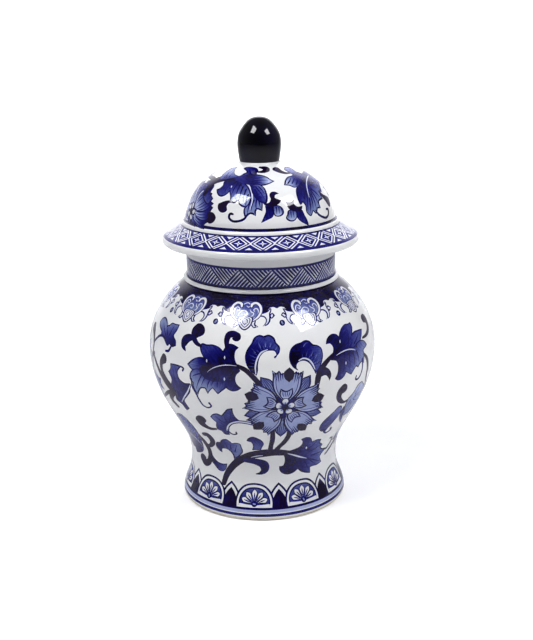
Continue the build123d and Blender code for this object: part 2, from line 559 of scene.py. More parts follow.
def peony(art, chart, centre, size=1.0):
    """The large flower: five serrated petals, five leaf tips between them and a small white rosette."""
    petal_angles = [87, 13, -56, -134, 161]
    tip_angles = [50, -21, -97, -167, 124]

    def at(points, angle):
        return turned(points, centre, angle, size)

    art.flat(chart, at(circle(9, 9, 16), 0), (0.84, 0.84))
    for angle in tip_angles:
        tip = [(8, -0.4, 1), (14, -3.4), (20, -3.6), (25.2, 0.4, 1), (20, 3.6), (14, 3.2)]
        art.wash(chart, at(tip, angle), (0.36, 0.6), *at([(14, 0), (25, 0)], angle), pen=0.95)
        for v in (-2.4, -1.2, 0, 1.2, 2.4):
            vein = [(13, v * 0.5, 0.1), (18, v, 0.26), (22.4, v * 0.6, 0.06)]
            art.stroke(chart, at(vein, angle), (0.8, 0.85))
    for angle in petal_angles:
        petal = [(2.5, 0, 1), (6, 3.4), (9, 5.9), (12, 7.6), (16, 8.3), (20, 8.2), (24, 8.8, 1),
                 (22.2, 6.3, 1), (23.8, 4.6, 1), (21.8, 3, 1), (22.8, 1, 1), (21.8, -4, 1), (23.2, -5.6, 1),
                 (21.6, -7.2, 1), (23.2, -10.2, 1), (18.5, -9.8), (14, -9.4), (10, -8), (6.5, -5)]
        art.wash(chart, at(petal, angle), (0.24, 0.34), *at([(9, 0), (24, 0)], angle), pen=1.0, ink=0.96)
        for v, reach, width in (
            (8, 19, 0.34), (6.6, 17.4, 0.46), (5.2, 16.4, 0.46), (3.9, 17.4, 0.42), (2.5, 18, 0.36),
            (-4.2, 17.6, 0.36), (-5.6, 16.2, 0.46), (-7, 17, 0.46), (-8.4, 17.6, 0.42), (-9.3, 19.5, 0.3),
        ):
            streak = [(reach, v * 0.84, 0.06), (20.2, v * 0.96, width * 0.8), (22.2, v, width)]
            art.stroke(chart, at(streak, angle), (0.8, 0.94))
        for side in (1, -1):
            rib = [(8.4, 4.5 * side, 0.1), (12, 6.2 * side, 0.36), (16, 7.0 * side, 0.42),
                   (19.6, 7.1 * side, 0.1)]
            if side < 0:
                rib = [(u, v - 1.0, w) for u, v, w in rib]
            line = [(u, v - 0.85 * side, 0.2) for u, v, w in rib]
            art.stroke(chart, at(line, angle), (0.86, 0.86))
            art.stroke(chart, at(rib, angle), (0.2, 0.26), 0.0)
        bud = [(16.6, -1.6, 1), (19, 1), (22.2, 1.8), (25.6, -1.4, 1), (22.6, -4.4), (19.2, -4)]
        art.flat(chart, at(bud, angle), (0.99, 0.99), warmth=0.7)
        heart = [(4.8, -0.3), (6.2, 2.4), (9.2, 3.8), (12.8, 3.2, 1), (11.2, -0.1), (13, -3.9, 1),
                 (9.4, -4.3), (6.2, -3)]
        art.wash(chart, at(heart, angle), (0.28, 0.2), *at([(12.5, 0), (5, 0)], angle), pen=0.85, ink=0.96)
        for v in (1.7, 0.4, -0.9, -2.2):
            vein = [(7.0, v * 0.6, 0.1), (9, v, 0.3), (11, v * 1.1, 0.1)]
            art.stroke(chart, at(vein, angle), (0.72, 0.72))
    art.flat(chart, at(circle(3.9, 3.9, 12), 0), (0.95, 0.95))
    for angle in petal_angles:
        floret = [(1, 0, 1), (2.4, 1.7), (4, 2.5), (5.7, 1.7), (6.3, 0), (5.7, -1.7), (4, -2.5),
                  (2.4, -1.7)]
        art.wash(chart, at(floret, angle), (0.6, 0.08), centre, at([(4, 0)], angle)[0], pen=0.6, ink=0.97)
    core = [(1.9, 0.2), (0.6, 1.6), (-1.4, 1), (-1.2, -1.4), (0.8, -1.9)]
    art.flat(chart, at(core, 20), (0.99, 0.99), warmth=0.5)
    for angle in petal_angles:
        art.stroke(chart, at([(1, 0, 0.4), (3.6, 0, 0.1)], angle), (0.97, 0.97))


def plume(art, chart, ring, inner, tones, start, end, fan):
    """A curled leaf: dark outside, with a white line along its inner curve and streaks across it."""
    art.wash(chart, ring, tones, start, end, pen=0.8)
    for streak in fan:
        art.stroke(chart, [(x, s, w * 0.6) for x, s, w in streak], (0.4, 0.75), 0.0)
    curve = hermite(inner, False, 1.0)[:, :2]
    for k in range(2, len(curve) - 2):
        ahead = curve[k + 1] - curve[k - 1]
        out = np.array([-ahead[1], ahead[0]]) / np.hypot(*ahead)
        near, far = curve[k] + out * 1.2, curve[k] + out * (3.4 + 1.1 * (k % 3))
        tone = (0.5, 0.8) if k % 2 else (0.99, 0.99)
        art.stroke(chart, [(*near, 0.12), (*(near + far) / 2, 0.2), (*far, 0.06)], tone, 0.0)
    reserve(art, chart, inner, 0.3)


def leaf(art, chart, lobes, tones, start, end, pen=0.8, warmth=0.0):
    """A lobed leaf. Every lobe's ink comes first, so that lobes that overlap share one wash."""
    rings = [outline(lobe) for lobe in lobes]
    for ring in rings:
        art.area(chart, ring, (0.93, 0.93), warmth=outline_warmth + warmth)
    for ring in rings:
        art.area(chart, inset(ring, art.pen_line(ring, pen)), tones, start, end, warmth)


def upper_leaves(art, chart):
    """The two curled plumes over the flower and the big lobed leaves to the left and right of them."""
    plume(art, chart,
        [(-3.6, 110.5, 1), (-7, 113), (-9.6, 117), (-10.5, 122), (-9.2, 126.3), (-6.6, 130), (-4.6, 133.8),
         (-1.6, 135.3), (1, 134.6, 1), (4.2, 135.3), (7.2, 133.4), (8.5, 130.2, 1), (10.6, 127.6),
         (10.3, 124.2), (6.7, 120.7, 1), (8.4, 122.9), (7.6, 125), (4.5, 125.6), (1.2, 124.8), (-1.4, 122),
         (-2.6, 118), (-2.9, 113)],
        [(-4.1, 111.5, 0.3), (-4.3, 116, 0.5), (-3, 121, 0.5), (-0.6, 124.6, 0.5), (3.2, 126.3, 0.25)],
        (0.99, 0.62), (-7, 118), (5, 133),
        [[(-1.2, 127.6, 0.5), (-2.2, 130.4, 0.6), (-2.6, 132.6, 0.2)],
         [(2, 128, 0.5), (1.8, 131, 0.7), (1.4, 133.2, 0.2)],
         [(4.6, 127.8, 0.5), (5.4, 130.8, 0.7), (5, 133, 0.2)],
         [(-4.2, 124.6, 0.4), (-6, 126.6, 0.4), (-7, 127.6, 0.1)],
         [(8, 126, 0.3), (9, 128, 0.5), (8.6, 129.4, 0.2)]])
    plume(art, chart,
        [(33.4, 108.6, 1), (36, 111.6), (38, 116), (38.6, 120.6), (37.4, 124.2), (35, 126), (31.6, 127.2),
         (29.4, 129.4), (26.6, 130.2), (23.8, 129.2), (20.4, 128.4), (17.4, 126), (16.2, 122),
         (16.8, 117.6), (18.8, 114.4), (21.9, 112.3, 1), (20.7, 114.6), (21.3, 116.8), (23.8, 118),
         (27, 117.5), (30, 114.8), (32, 111.4)],
        [(22.2, 118.4, 0.3), (24.8, 119.4, 0.45), (28.4, 118.4, 0.5), (31.2, 115.4, 0.5), (33, 111.6, 0.25)],
        (0.99, 0.58), (22, 122), (36, 122),
        [[(30.4, 120.2, 0.5), (31.8, 123.2, 0.6), (32.2, 125.2, 0.2)],
         [(33, 118.6, 0.5), (34.8, 121.6, 0.7), (35.4, 124, 0.2)],
         [(34.6, 115.6, 0.4), (36.2, 118.4, 0.6), (37, 121, 0.2)],
         [(25.4, 126.6, 0.4), (27.4, 128.4, 0.6), (29, 128.2, 0.2)]])
    stem(art, chart,
        [(-1.5, 104.5, 1.6), (-6, 109.8, 1.6), (-10, 113.6, 1.5), (-15, 116, 1.2), (-20, 117, 0.8)])
    leaf(art, chart,
        [[(-13, 114.2, 1), (-16.4, 119), (-16.8, 123), (-16, 125.6), (-14.2, 127.3, 1), (-17, 128.9),
          (-20, 129.4), (-22.6, 127.2), (-24.2, 124.6), (-24.5, 119.6), (-21, 115.4)],
         [(-23.6, 124), (-27, 126.9), (-31, 127.9), (-35.2, 127.5), (-38, 127.9), (-40.2, 126.6, 1),
          (-39.6, 123), (-37.8, 119.8), (-33, 115.6), (-24, 114.6), (-22.4, 119)]],
        (0.99, 0.72), (-26, 117), (-34, 127))
    leaf(art, chart,
        [[(-37.2, 119.4), (-43, 118.4), (-47, 116), (-50, 113.3, 1), (-47.2, 110.9), (-42, 109),
          (-34, 111.5), (-31, 116)]],
        (0.45, 0.95), (-48, 114), (-36, 114))
    leaf(art, chart,
        [[(-40, 111.5), (-46, 110.4), (-48.2, 107.2), (-48, 103.8), (-46, 101.6), (-43, 103), (-38, 107)],
         [(-45.5, 104), (-46.3, 100), (-44.8, 96.2), (-42.6, 92.8, 1), (-41.4, 96.4), (-39.4, 99.2),
          (-37, 99.4, 1), (-35.1, 95.8, 1), (-33.4, 98.6), (-31.6, 100.4, 1), (-28.2, 96.6, 1),
          (-25.4, 99.2), (-22.8, 101.6), (-22, 108), (-28, 113), (-38, 110)],
         [(-24, 103), (-21.6, 100.8), (-18.6, 99.7), (-15.6, 100.4), (-13, 102.2, 1), (-15.6, 104.4),
          (-16.7, 107.4), (-16, 110.6), (-13.6, 113.2), (-20, 115.8), (-26, 112)]],
        (0.36, 0.96), (-34, 98), (-27, 112), warmth=0.25)
    art.flat(chart,
        [(-41, 111.6), (-38, 107), (-31, 105), (-25, 106), (-20.6, 109.6), (-18.4, 115.8), (-26, 116.2),
         (-34, 115.6)],
        (0.97, 0.8), (-33, 113), (-31, 105), 0.5)
    veins(art, chart,
        ((-38, 110, -43.6, 98), (-35, 109, -39.6, 101), (-32, 108, -35.8, 99), (-29, 108, -32.4, 102),
         (-27, 108, -28.6, 100), (-24.5, 109, -24.6, 103), (-40, 109, -46.4, 106)),
        (0.5, 0.38, 0.1), (0.95, 0.8), bend=(-0.5, 0))
    reserve(art, chart,
        [(-15.8, 116.2, 0.12), (-21, 116.4, 0.28), (-27, 115.3, 0.3), (-32, 113, 0.24), (-35, 110.6, 0.1)])
    dots(art, chart, [(-23.2, 120.8), (-35.2, 117.6), (-23.6, 107.4)], 0.9)
    art.stroke(chart,
        [(-46.9, 104.5, 0.3), (-46.6, 99, 0.5), (-44, 94.6, 0.5), (-41.6, 90, 0.6), (-38.6, 86.2, 0.5),
         (-35.4, 85.3, 0.5), (-33.2, 87, 0.6), (-34.6, 89.2, 0.7)],
        (0.85, 0.95), 0.2)
    comma(art, chart,
        [(-21.6, 127.5, 1.4), (-21.7, 131.5, 1.7), (-20, 134.8, 2), (-17, 135.2, 2.3), (-15.8, 134, 3)])
    comma(art, chart,
        [(-39.4, 126, 0.9), (-42.4, 127.2, 1.5), (-44.6, 130.4, 2.3), (-43.4, 133.4, 3.4),
         (-40.4, 135.8, 3.9)])
    comma(art, chart,
        [(-44.4, 130.2, 1.4), (-48.6, 129.6, 2.3), (-52.4, 126.6, 2.7), (-53.2, 123.6, 1.8),
         (-51.4, 121.2, 0.4)],
        0.95, 0.2)
    stem(art, chart,
        [(33.6, 96, 1.2), (34.6, 103, 1.9), (35.8, 108, 2.1), (38.6, 112.4, 1.9), (43, 116.2, 1.5),
         (47.5, 118.8, 1.1), (55, 119.6, 0.6)])
    leaf(art, chart,
        [[(41, 125.6, 1), (42, 128.8), (45.4, 130.9), (49.6, 130.2), (52.4, 127.6), (56, 122), (52, 118),
          (46.2, 118.4), (46.6, 122.4), (44.4, 125.4)],
         [(51.5, 127.5), (54.2, 132.6), (58, 134.5), (61.4, 134.2), (64.2, 134.5, 1), (65.6, 131.4),
          (64.8, 127), (62, 119), (54, 119)],
         [(63, 126.6), (67.4, 128.2), (71.4, 128), (77.6, 127.3, 1), (76, 123.6), (72, 119.4), (60, 118.6)]],
        (0.99, 0.6), (52, 119), (70, 129))
    leaf(art, chart,
        [[(68, 120), (74.6, 121.2), (79, 119.6), (83, 116.2, 1), (78.6, 114.6), (72, 113)],
         [(44, 115.6), (49.2, 113.6), (50.3, 109.4), (49.6, 105.4), (47.7, 102.6, 1), (49.8, 101.1),
          (53.4, 101), (56.2, 102.8), (57.6, 104.8, 1), (60, 103.2), (62.6, 101.7, 1), (65, 104),
          (67.6, 106, 1), (70.2, 104.6, 1), (72.6, 106.6), (75, 107), (77.6, 105.4, 1), (78.2, 110),
          (76, 116), (66, 119), (52, 118.8)]],
        (0.96, 0.46), (52, 117), (68, 105), warmth=0.4)
    veins(art, chart,
        ((52, 117, 52, 104), (56, 117, 55, 105), (60, 117, 61, 104), (64, 116.6, 66, 107),
         (68, 116, 71, 108), (56, 121, 55, 128), (60, 121, 60, 131), (66, 121, 72, 126)),
        (0.55, 0.4, 0.1), bend=(0.6, 0))
    reserve(art, chart,
        [(49, 117.4, 0.15), (53, 118.4, 0.38), (59, 118.8, 0.4), (64, 117.9, 0.32), (67.2, 116.6, 0.12)])
    dots(art, chart, [(52.5, 125.2), (57.2, 110.8)], 0.9)
    art.stroke(chart,
        [(75.4, 109, 0.8), (76, 104, 0.8), (74, 98.6, 0.7), (70.6, 96.2, 0.7), (67.8, 97, 0.7),
         (68.6, 99.2, 0.6)],
        (0.8, 0.9), 0.2)
    art.wash(chart,
        [(36.4, 112.6, 1), (40.4, 111.8), (43.8, 109), (44.8, 105.6), (43.4, 102.2, 1), (42.4, 104.8),
         (40.6, 106.5), (37.6, 106.2), (35.2, 103.8, 1)],
        (0.95, 0.85), (38, 110), (44, 104), warmth=0.5)


def lower_leaves(art, chart):
    """The stems under the flower, the leaf to its left, and the leaves on the main stem."""
    stem(art, chart, [(5.8, 68.5, 1.4), (5.6, 60, 1.6), (4.6, 53, 1.5), (4, 48, 1.6)])
    stem(art, chart, [(16.6, 69, 1.6), (15.8, 62, 1.7), (12.8, 55.6, 1.7), (9.4, 51, 1.6), (7.6, 47.5, 2)])
    stem(art, chart,
        [(-27.8, 20.2, 1.7), (-25.8, 25.6, 2), (-21.8, 32.2, 2.3), (-15.4, 39.2, 2.7), (-8.4, 43.8, 3.2),
         (0, 46.2, 3.4), (7, 46.6, 3.1), (13.4, 45.4, 2.5), (19, 44.3, 1.4)])
    reserve(art, chart, [(-8.2, 42.2, 0.2), (-4.6, 43.4, 0.4), (-0.8, 44, 0.25)])
    art.wash(chart,
        [(-7.4, 49, 1), (-6.8, 53), (-7.8, 56.8), (-10.9, 58.2, 1), (-10, 60.8), (-7, 62.8), (-3.8, 61.4),
         (-1, 58.6), (0.1, 55.4), (-1, 52), (-1.8, 49.4, 1)],
        (0.9, 0.6), (-8, 61), (-3, 51), warmth=0.2)
    comma(art, chart,
        [(-12, 39.4, 1.6), (-4.6, 38.6, 2.5), (0.2, 35.8, 3.1), (0.2, 32.2, 2.5), (-2, 30, 1.2),
         (-5.2, 29.3, 0.3)],
        0.88, 0.15)
    leaf(art, chart,
        [[(-28, 43.2, 1), (-30.6, 45), (-32.4, 48), (-32.6, 50.8), (-31.4, 53), (-29.2, 53.4, 1),
          (-27.6, 56.6), (-24.8, 58), (-22.2, 56.4), (-20.6, 54.3, 1), (-18, 55.3), (-15.4, 54.8),
          (-14.2, 51.2), (-13.4, 47), (-15.6, 42.6), (-19.6, 38.6, 1), (-20.4, 42.8), (-22.2, 45.8),
          (-25, 47.6), (-27.6, 47.2)]],
        (0.8, 0.45), (-28, 51), (-17, 50), warmth=0.35)
    veins(art, chart,
        ((-24, 49, -26, 55), (-21.5, 48, -22, 54), (-18.8, 46, -17.4, 53), (-27, 49, -30, 52)), (0.45, 0.1),
        (0.9, 0.8))
    stem(art, chart,
        [(-52, 59, 1.2), (-46, 53, 1.7), (-41.6, 47.6, 2), (-39, 42, 1.9), (-38.6, 36.4, 2.1),
         (-40.8, 31.6, 2.3), (-44.6, 30.2, 2.8), (-46.4, 32.6, 3.4)],
        0.8)
    comma(art, chart,
        [(-40.4, 45.4, 1.3), (-36.8, 47.6, 1.8), (-35, 51.2, 2.1), (-36.4, 55.8, 2.2), (-39.4, 58.4, 2),
         (-41.6, 57.8, 1.8)],
        0.97, 0.8)
    art.wash(chart,
        [(-37.8, 40.6, 1), (-35.2, 36.6), (-32, 34.4), (-28.4, 33.8), (-24.9, 34.6, 1), (-25.4, 31.4),
         (-27.6, 28.4), (-31, 27.9), (-35, 30.8), (-38.6, 34.4)],
        (0.93, 0.55), (-36, 34), (-26, 31), warmth=0.3)
    comma(art, chart,
        [(-31, 66.9, 0.9), (-34.6, 66.2, 1.3), (-38.6, 67.2, 1.9), (-41.6, 69.6, 3), (-42.2, 72.4, 4.4)],
        0.97, 0.8)
    leaf(art, chart,
        [[(-14.6, 76.6), (-17.4, 80.4), (-18.8, 84), (-19.1, 87.4, 1), (-22.6, 86.2), (-24.8, 83.2),
          (-26.6, 80.6, 1), (-29.6, 81.7), (-32.6, 80.5), (-34.6, 77.9, 1), (-32.4, 75.4), (-30.4, 73.4, 1),
          (-30.8, 70.2), (-30.2, 67.4), (-27, 65.8, 1), (-24.8, 62.8), (-21.4, 63.2, 1), (-22.4, 67),
          (-22.2, 71), (-19.6, 74.6)]],
        (0.82, 0.52), (-22, 74), (-30, 80), warmth=0.35)
    veins(art, chart,
        ((-21, 76, -20.4, 84), (-23, 75, -25, 80), (-25, 74, -31, 79), (-25.4, 71, -29, 71),
         (-24.6, 69, -27, 66.6)),
        (0.5, 0.1), (0.93, 0.85))
    path = [(-23.2, 67.4), (-22.6, 71.2), (-20.4, 74.4), (-16.6, 76.2), (-12, 76.3), (-8, 75.4), (-3.6, 74.2)]
    reserve(art, chart, [(x, s, 0.55) for x, s in path], 0.75)
    art.stroke(chart,
        [(-22.8, 68, 0.5), (-21.4, 65.2, 0.55), (-19, 63.9, 0.55), (-17, 64.8, 0.6), (-17.4, 66.4, 0.5)],
        (0.9, 0.95))
    leaf(art, chart,
        [[(17, 46.6), (20.4, 47.6), (23.6, 48.9), (25.2, 51), (25.6, 54), (24.4, 56.4, 1), (27.8, 57.7),
          (31, 56.6), (32.6, 53.8), (33, 51.4, 1), (36.6, 52), (41.2, 50.8, 1), (40.2, 48), (43.4, 44.2, 1),
          (41.6, 42.2), (43.4, 40.4), (47.2, 38.4, 1), (43.6, 36.6), (41.2, 34.4, 1), (42, 32),
          (43, 29.8, 1), (39, 28.9), (35, 29.2), (32.4, 29.2, 1), (32.4, 25, 1), (28.8, 26), (25.4, 27.6),
          (22.6, 30.2, 1), (19.4, 28.2), (15.8, 27.6), (12.2, 28.8), (10.2, 31), (9.8, 34.4, 1),
          (12.2, 34.6), (13.4, 37), (13.5, 40.6), (12.4, 44.2, 1)]],
        (0.92, 0.5), (22, 42), (42, 40), warmth=0.35)
    veins(art, chart,
        ((26, 48, 28.6, 56), (28, 45, 31, 53), (30, 44, 38, 50.6), (31, 41.6, 41.6, 44.6),
         (33, 38, 44, 38.2), (31, 36, 41, 31), (28, 35, 31.4, 27.4), (24, 37, 26.8, 28.8),
         (20.4, 39.6, 21, 31), (17, 41, 14, 31), (29.6, 37.2, 36.6, 30.2)),
        (0.55, 0.42, 0.1))
    reserve(art, chart, [(15.8, 44, 0.3), (19.6, 42, 0.6), (24.6, 39.2, 0.55), (29.4, 36.8, 0.2)])
    dots(art, chart, [(28.8, 46.4)], 1.0)
    art.stroke(chart,
        [(44.4, 39.6, 0.6), (48, 38.6, 0.8), (50.8, 40.6, 0.8), (53.4, 43.6, 0.7), (53.6, 46.4, 0.8),
         (51, 46.8, 0.9)],
        (0.9, 0.95), 0.5)
    comma(art, chart,
        [(61.5, 82.4, 0.8), (57.4, 82, 1.1), (53.8, 84.4, 1.9), (52, 88.4, 2.3), (53.2, 91.8, 2.8),
         (56.2, 93.6, 3.3)],
        0.96, 0.8)


def left_leaves(art, chart):
    """What shows at the left edge from the front, on its own chart."""
    leaf(art, chart,
        [[(-4, 131.2), (-7.4, 135.2), (-11.6, 136.4), (-15.4, 134.6), (-17, 131.6), (-15, 129.4, 1),
          (-11, 127.6), (-4, 126.4)],
         [(-3.4, 131.4), (-0.4, 135.2), (3.4, 135.4), (7.6, 135.8, 1), (7.2, 131.4), (6, 128.2),
          (9.2, 125.4), (10.3, 122.3, 1), (6.4, 120.8), (2, 123.4), (-2, 127)],
         [(-10, 128.4), (-6.4, 131.4), (-2, 133.4), (2.4, 131.4), (4.6, 125), (2, 120.6), (-4, 123.6),
          (-9.6, 126)]],
        (0.94, 0.36), (0, 122), (-4, 135))
    veins(art, chart, ((-3, 126, -11, 133), (-1, 127, -5, 134), (1, 127, 3, 134), (3, 125, 8, 123)),
        (0.45, 0.1))
    art.stroke(chart,
        [(-19, 117.6, 0.9), (-14.6, 121.4, 0.8), (-9.4, 124.6, 0.8), (-3.4, 124.6, 0.7), (0.8, 122, 0.5)],
        (0.85, 0.9), 0.2)
    comma(art, chart, [(5.6, 120.8, 0.8), (3.4, 117.6, 0.9), (0.4, 117, 0.7)], 0.85, 0.2)
    comma(art, chart,
        [(4.6, 94.6, 1), (-1.4, 98.4, 1.7), (-5, 103, 1.9), (-4.8, 108, 2.1), (-1, 111.6, 3.2)], 0.96, 0.8)
    stem(art, chart, [(-18, 110.4, 1.4), (-12, 104, 1.7), (-5, 97.6, 2.3), (2, 92.8, 2.8), (8, 91.4, 2)],
        0.8)
    comma(art, chart, [(6, 90.4, 2.4), (0.6, 87, 2.7), (-1, 82.4, 2.1), (3.2, 78.6, 1.5)], 0.95, 0.8)
    stem(art, chart, [(-20, 78, 1), (-12, 82, 1.2), (-3, 87.4, 1.3), (6, 91, 1.2)], 0.8)
    leaf(art, chart,
        [[(6.4, 110.4, 1), (11.8, 111), (16.6, 110.6), (13.6, 106.4), (14.4, 102.4), (18.6, 100.2),
          (23.4, 100.8, 1), (22.4, 95), (18.2, 90.2), (14.4, 86.2), (16.2, 80.6, 1), (12.4, 78.4), (10, 82),
          (5.4, 84.6), (6.4, 89.6), (4.2, 95), (6.2, 99.4), (3.6, 104.4, 1), (6.2, 107)]],
        (0.86, 0.6), (12, 94), (10, 110), warmth=0.45)
    veins(art, chart,
        ((10, 95, 9, 109), (11, 94, 12, 100), (14, 94, 21, 99), (12, 91, 12, 81), (9, 92, 7, 86)),
        (0.6, 0.1), warmth=0.3)
    reserve(art, chart, [(23.6, 99.8, 0.3), (20.4, 94.8, 0.5), (15.6, 89.6, 0.5), (11, 84.6, 0.3)], 0.5)
    art.stroke(chart, [(16.6, 110.6, 0.5), (19, 109.8, 0.6), (18.2, 108.2, 0.7)], (0.95, 0.95))
    leaf(art, chart,
        [[(-7.4, 68.4, 1), (-2.4, 70.6), (2.2, 71), (5.8, 68.6), (8.4, 64.6), (9.6, 59.4), (8.6, 53.6),
          (7.4, 48.6, 1), (5.8, 43), (3.4, 38.6), (-1.8, 35.6), (-7.2, 34, 1), (-8.6, 38.8),
          (-13.4, 41.4, 1), (-12, 47), (-15.6, 52.4, 1), (-13.4, 58.6), (-15.4, 64.8, 1), (-10.4, 65.4)]],
        (0.62, 0.86), (6, 62), (-8, 46), warmth=0.5)
    veins(art, chart,
        ((-4, 50, 6, 66), (-4, 49, 9, 58), (-4, 48, 4, 41), (-5, 50, -11, 62), (-5, 48, -7, 38)),
        (0.6, 0.45, 0.1), (0.95, 0.88), 0.3, (0.5, 0))
    reserve(art, chart, [(-6.4, 51, 0.2), (-1.4, 49.4, 0.4), (2.8, 46, 0.3), (5.6, 42.4, 0.1)])
    comma(art, chart, [(-20, 62, 0.9), (-14, 57, 1.2), (-9.6, 58.6, 2), (-9.4, 62.6, 3)], 0.95, 0.7)


def right_leaves(art, chart):
    """What shows at the right edge from the front, on its own chart."""
    comma(art, chart,
        [(6.6, 121.8, 0.7), (12.6, 122.2, 1.2), (18.2, 124.4, 1.8), (20.4, 128.6, 2.2), (18.2, 131.8, 3),
         (16, 132, 2.6)],
        0.96, 0.8)
    stem(art, chart,
        [(5.6, 111.4, 0.9), (10.6, 106.4, 1.5), (13, 100, 1.6), (13.6, 93, 1.4), (18, 86, 1.1)], 0.8)
    leaf(art, chart,
        [[(1.6, 91.2), (6.4, 92.2), (11.4, 89.4, 1), (16.6, 85), (17, 79.6, 1), (14, 74.6), (10.8, 71, 1),
          (5.4, 67.6), (-1, 67, 1), (-4.4, 72.4), (-6.8, 78.4), (-6.4, 83.6), (-2.4, 86.4)]],
        (0.24, 0.46), (10, 90), (0, 70), warmth=0.3)
    veins(art, chart, ((2, 84, 6, 90), (3, 82, 12, 84), (2, 80, 11, 75), (0, 79, 4, 70), (-2, 81, -4, 75)),
        (0.5, 0.1), (0.8, 0.7))
    leaf(art, chart,
        [[(-10.6, 79.2), (-13.6, 80), (-16.6, 76.8), (-20.6, 72.6), (-22.8, 68.2), (-21.8, 63.2),
          (-18.6, 59.8, 1), (-15.6, 58.6), (-13.8, 56.6, 1), (-12.8, 61.2), (-10.4, 66), (-8.6, 71.6),
          (-9, 76)]],
        (0.76, 0.5), (-18, 66), (-11, 77), warmth=0.5)
    art.stroke(chart, [(-15.2, 58.4, 0.6), (-11.4, 56.2, 0.8), (-8.4, 57.4, 0.9), (-9.4, 60, 0.8)],
        (0.9, 0.95), 0.5)
    art.wash(chart,
        [(-7.4, 78.6, 1), (-4.6, 73), (-1.2, 66), (0.8, 60.4, 1), (-3.2, 63.8), (-6.8, 69), (-8.8, 74)],
        (0.8, 0.5), (-8, 77), (0, 62), warmth=0.2)
    leaf(art, chart,
        [[(8, 52), (13.4, 56.8), (19, 55.6), (22.6, 50.4), (19.4, 45.4), (21.4, 40.6, 1), (15.6, 40),
          (11.6, 36.2, 1), (8.6, 41.6), (3.4, 43.2, 1), (7, 47.4)]],
        (0.8, 0.5), (10, 44), (18, 52), warmth=0.1)
    stem(art, chart, [(-1, 34, 0.6), (5, 37.4, 1.1), (11, 42.4, 1.2), (16, 47, 0.6)], 0.7)


def back_filler(art, chart):
    """A rising stem with a smaller flower, which joins the front's scroll to the back's on each side."""
    for path in (
        [(-12, 23, 1.1), (-7, 33, 1.8), (-1, 46, 2.1), (0.6, 58, 1.9), (-2.6, 70, 1.7), (-7, 82, 1.5),
         (-9, 92, 1.3)],
        [(-3, 71, 1.2), (-12, 75.6, 1.4), (-24, 79.6, 1.4), (-34, 82.6, 1.3), (-41.6, 86, 1.2)],
        [(0, 62, 1), (6, 71, 1.2), (14, 78, 1.1)], [(1, 54, 1.1), (7, 58.4, 1.3), (14, 62, 1)],
        [(-5, 78, 1.1), (4, 88, 1.4), (10.6, 100, 1.5), (13.6, 110.4, 1.6), (16, 111, 1.4)],
    ):
        stem(art, chart, path, 0.8)
    leaf(art, chart,
        [[(-1, 49, 1), (-7, 55.6), (-14, 59.4), (-18.4, 60.4), (-22, 65.6, 1), (-25.6, 61.8),
          (-32, 62.4, 1), (-30.4, 56.4), (-35.4, 51.4, 1), (-29, 49.4), (-27, 44, 1), (-21.6, 45.6),
          (-16.4, 42.4, 1), (-12.4, 45.4), (-6, 45.6)]],
        (0.94, 0.45), (-10, 51), (-32, 54), warmth=0.3)
    for x, height in ((-22, 62.4), (-28.6, 59), (-31, 52), (-25.4, 47.4), (-17, 45)):
        art.stroke(chart,
            [(-13 + (x + 13) * 0.3, 52, 0.5), ((x - 13) / 2, (height + 53) / 2, 0.36), (x, height, 0.1)],
            (0.95, 0.85), 0.2)
    reserve(art, chart, [(-6, 50, 0.2), (-12, 52, 0.45), (-19, 53.4, 0.45), (-26, 53, 0.15)])
    leaf(art, chart,
        [[(6, 92, 1), (7, 86), (11.4, 82.6), (17, 82.4, 1), (17.4, 86.2), (23.4, 87.4, 1), (20.6, 91),
          (23, 95.6, 1), (17.4, 95.8), (13.4, 99.4, 1), (10, 95.8)]],
        (0.92, 0.5), (8, 93), (20, 87), warmth=0.25)
    reserve(art, chart, [(8.4, 92.4, 0.15), (12.6, 91, 0.4), (17.4, 89, 0.12)])
    comma(art, chart, [(-6, 34, 0.9), (-12, 36.6, 1.4), (-17.4, 34.6, 2), (-18.6, 30.4, 3)], 0.96, 0.7)
    comma(art, chart, [(-1, 45, 0.9), (5, 46.4, 1.3), (10.4, 44.6, 1.9), (12.4, 40.2, 2.8)], 0.96, 0.7)
    comma(art, chart, [(-31, 81.6, 0.9), (-34.4, 88, 1.3), (-33.6, 94.4, 2), (-30.6, 98.2, 3)], 0.96, 0.7)
    comma(art, chart, [(13, 109.4, 0.9), (14, 117, 1.3), (10.4, 123, 2), (5.8, 126.4, 3)], 0.96, 0.7)
    peony(art, chart, (-11, 107), 0.8)


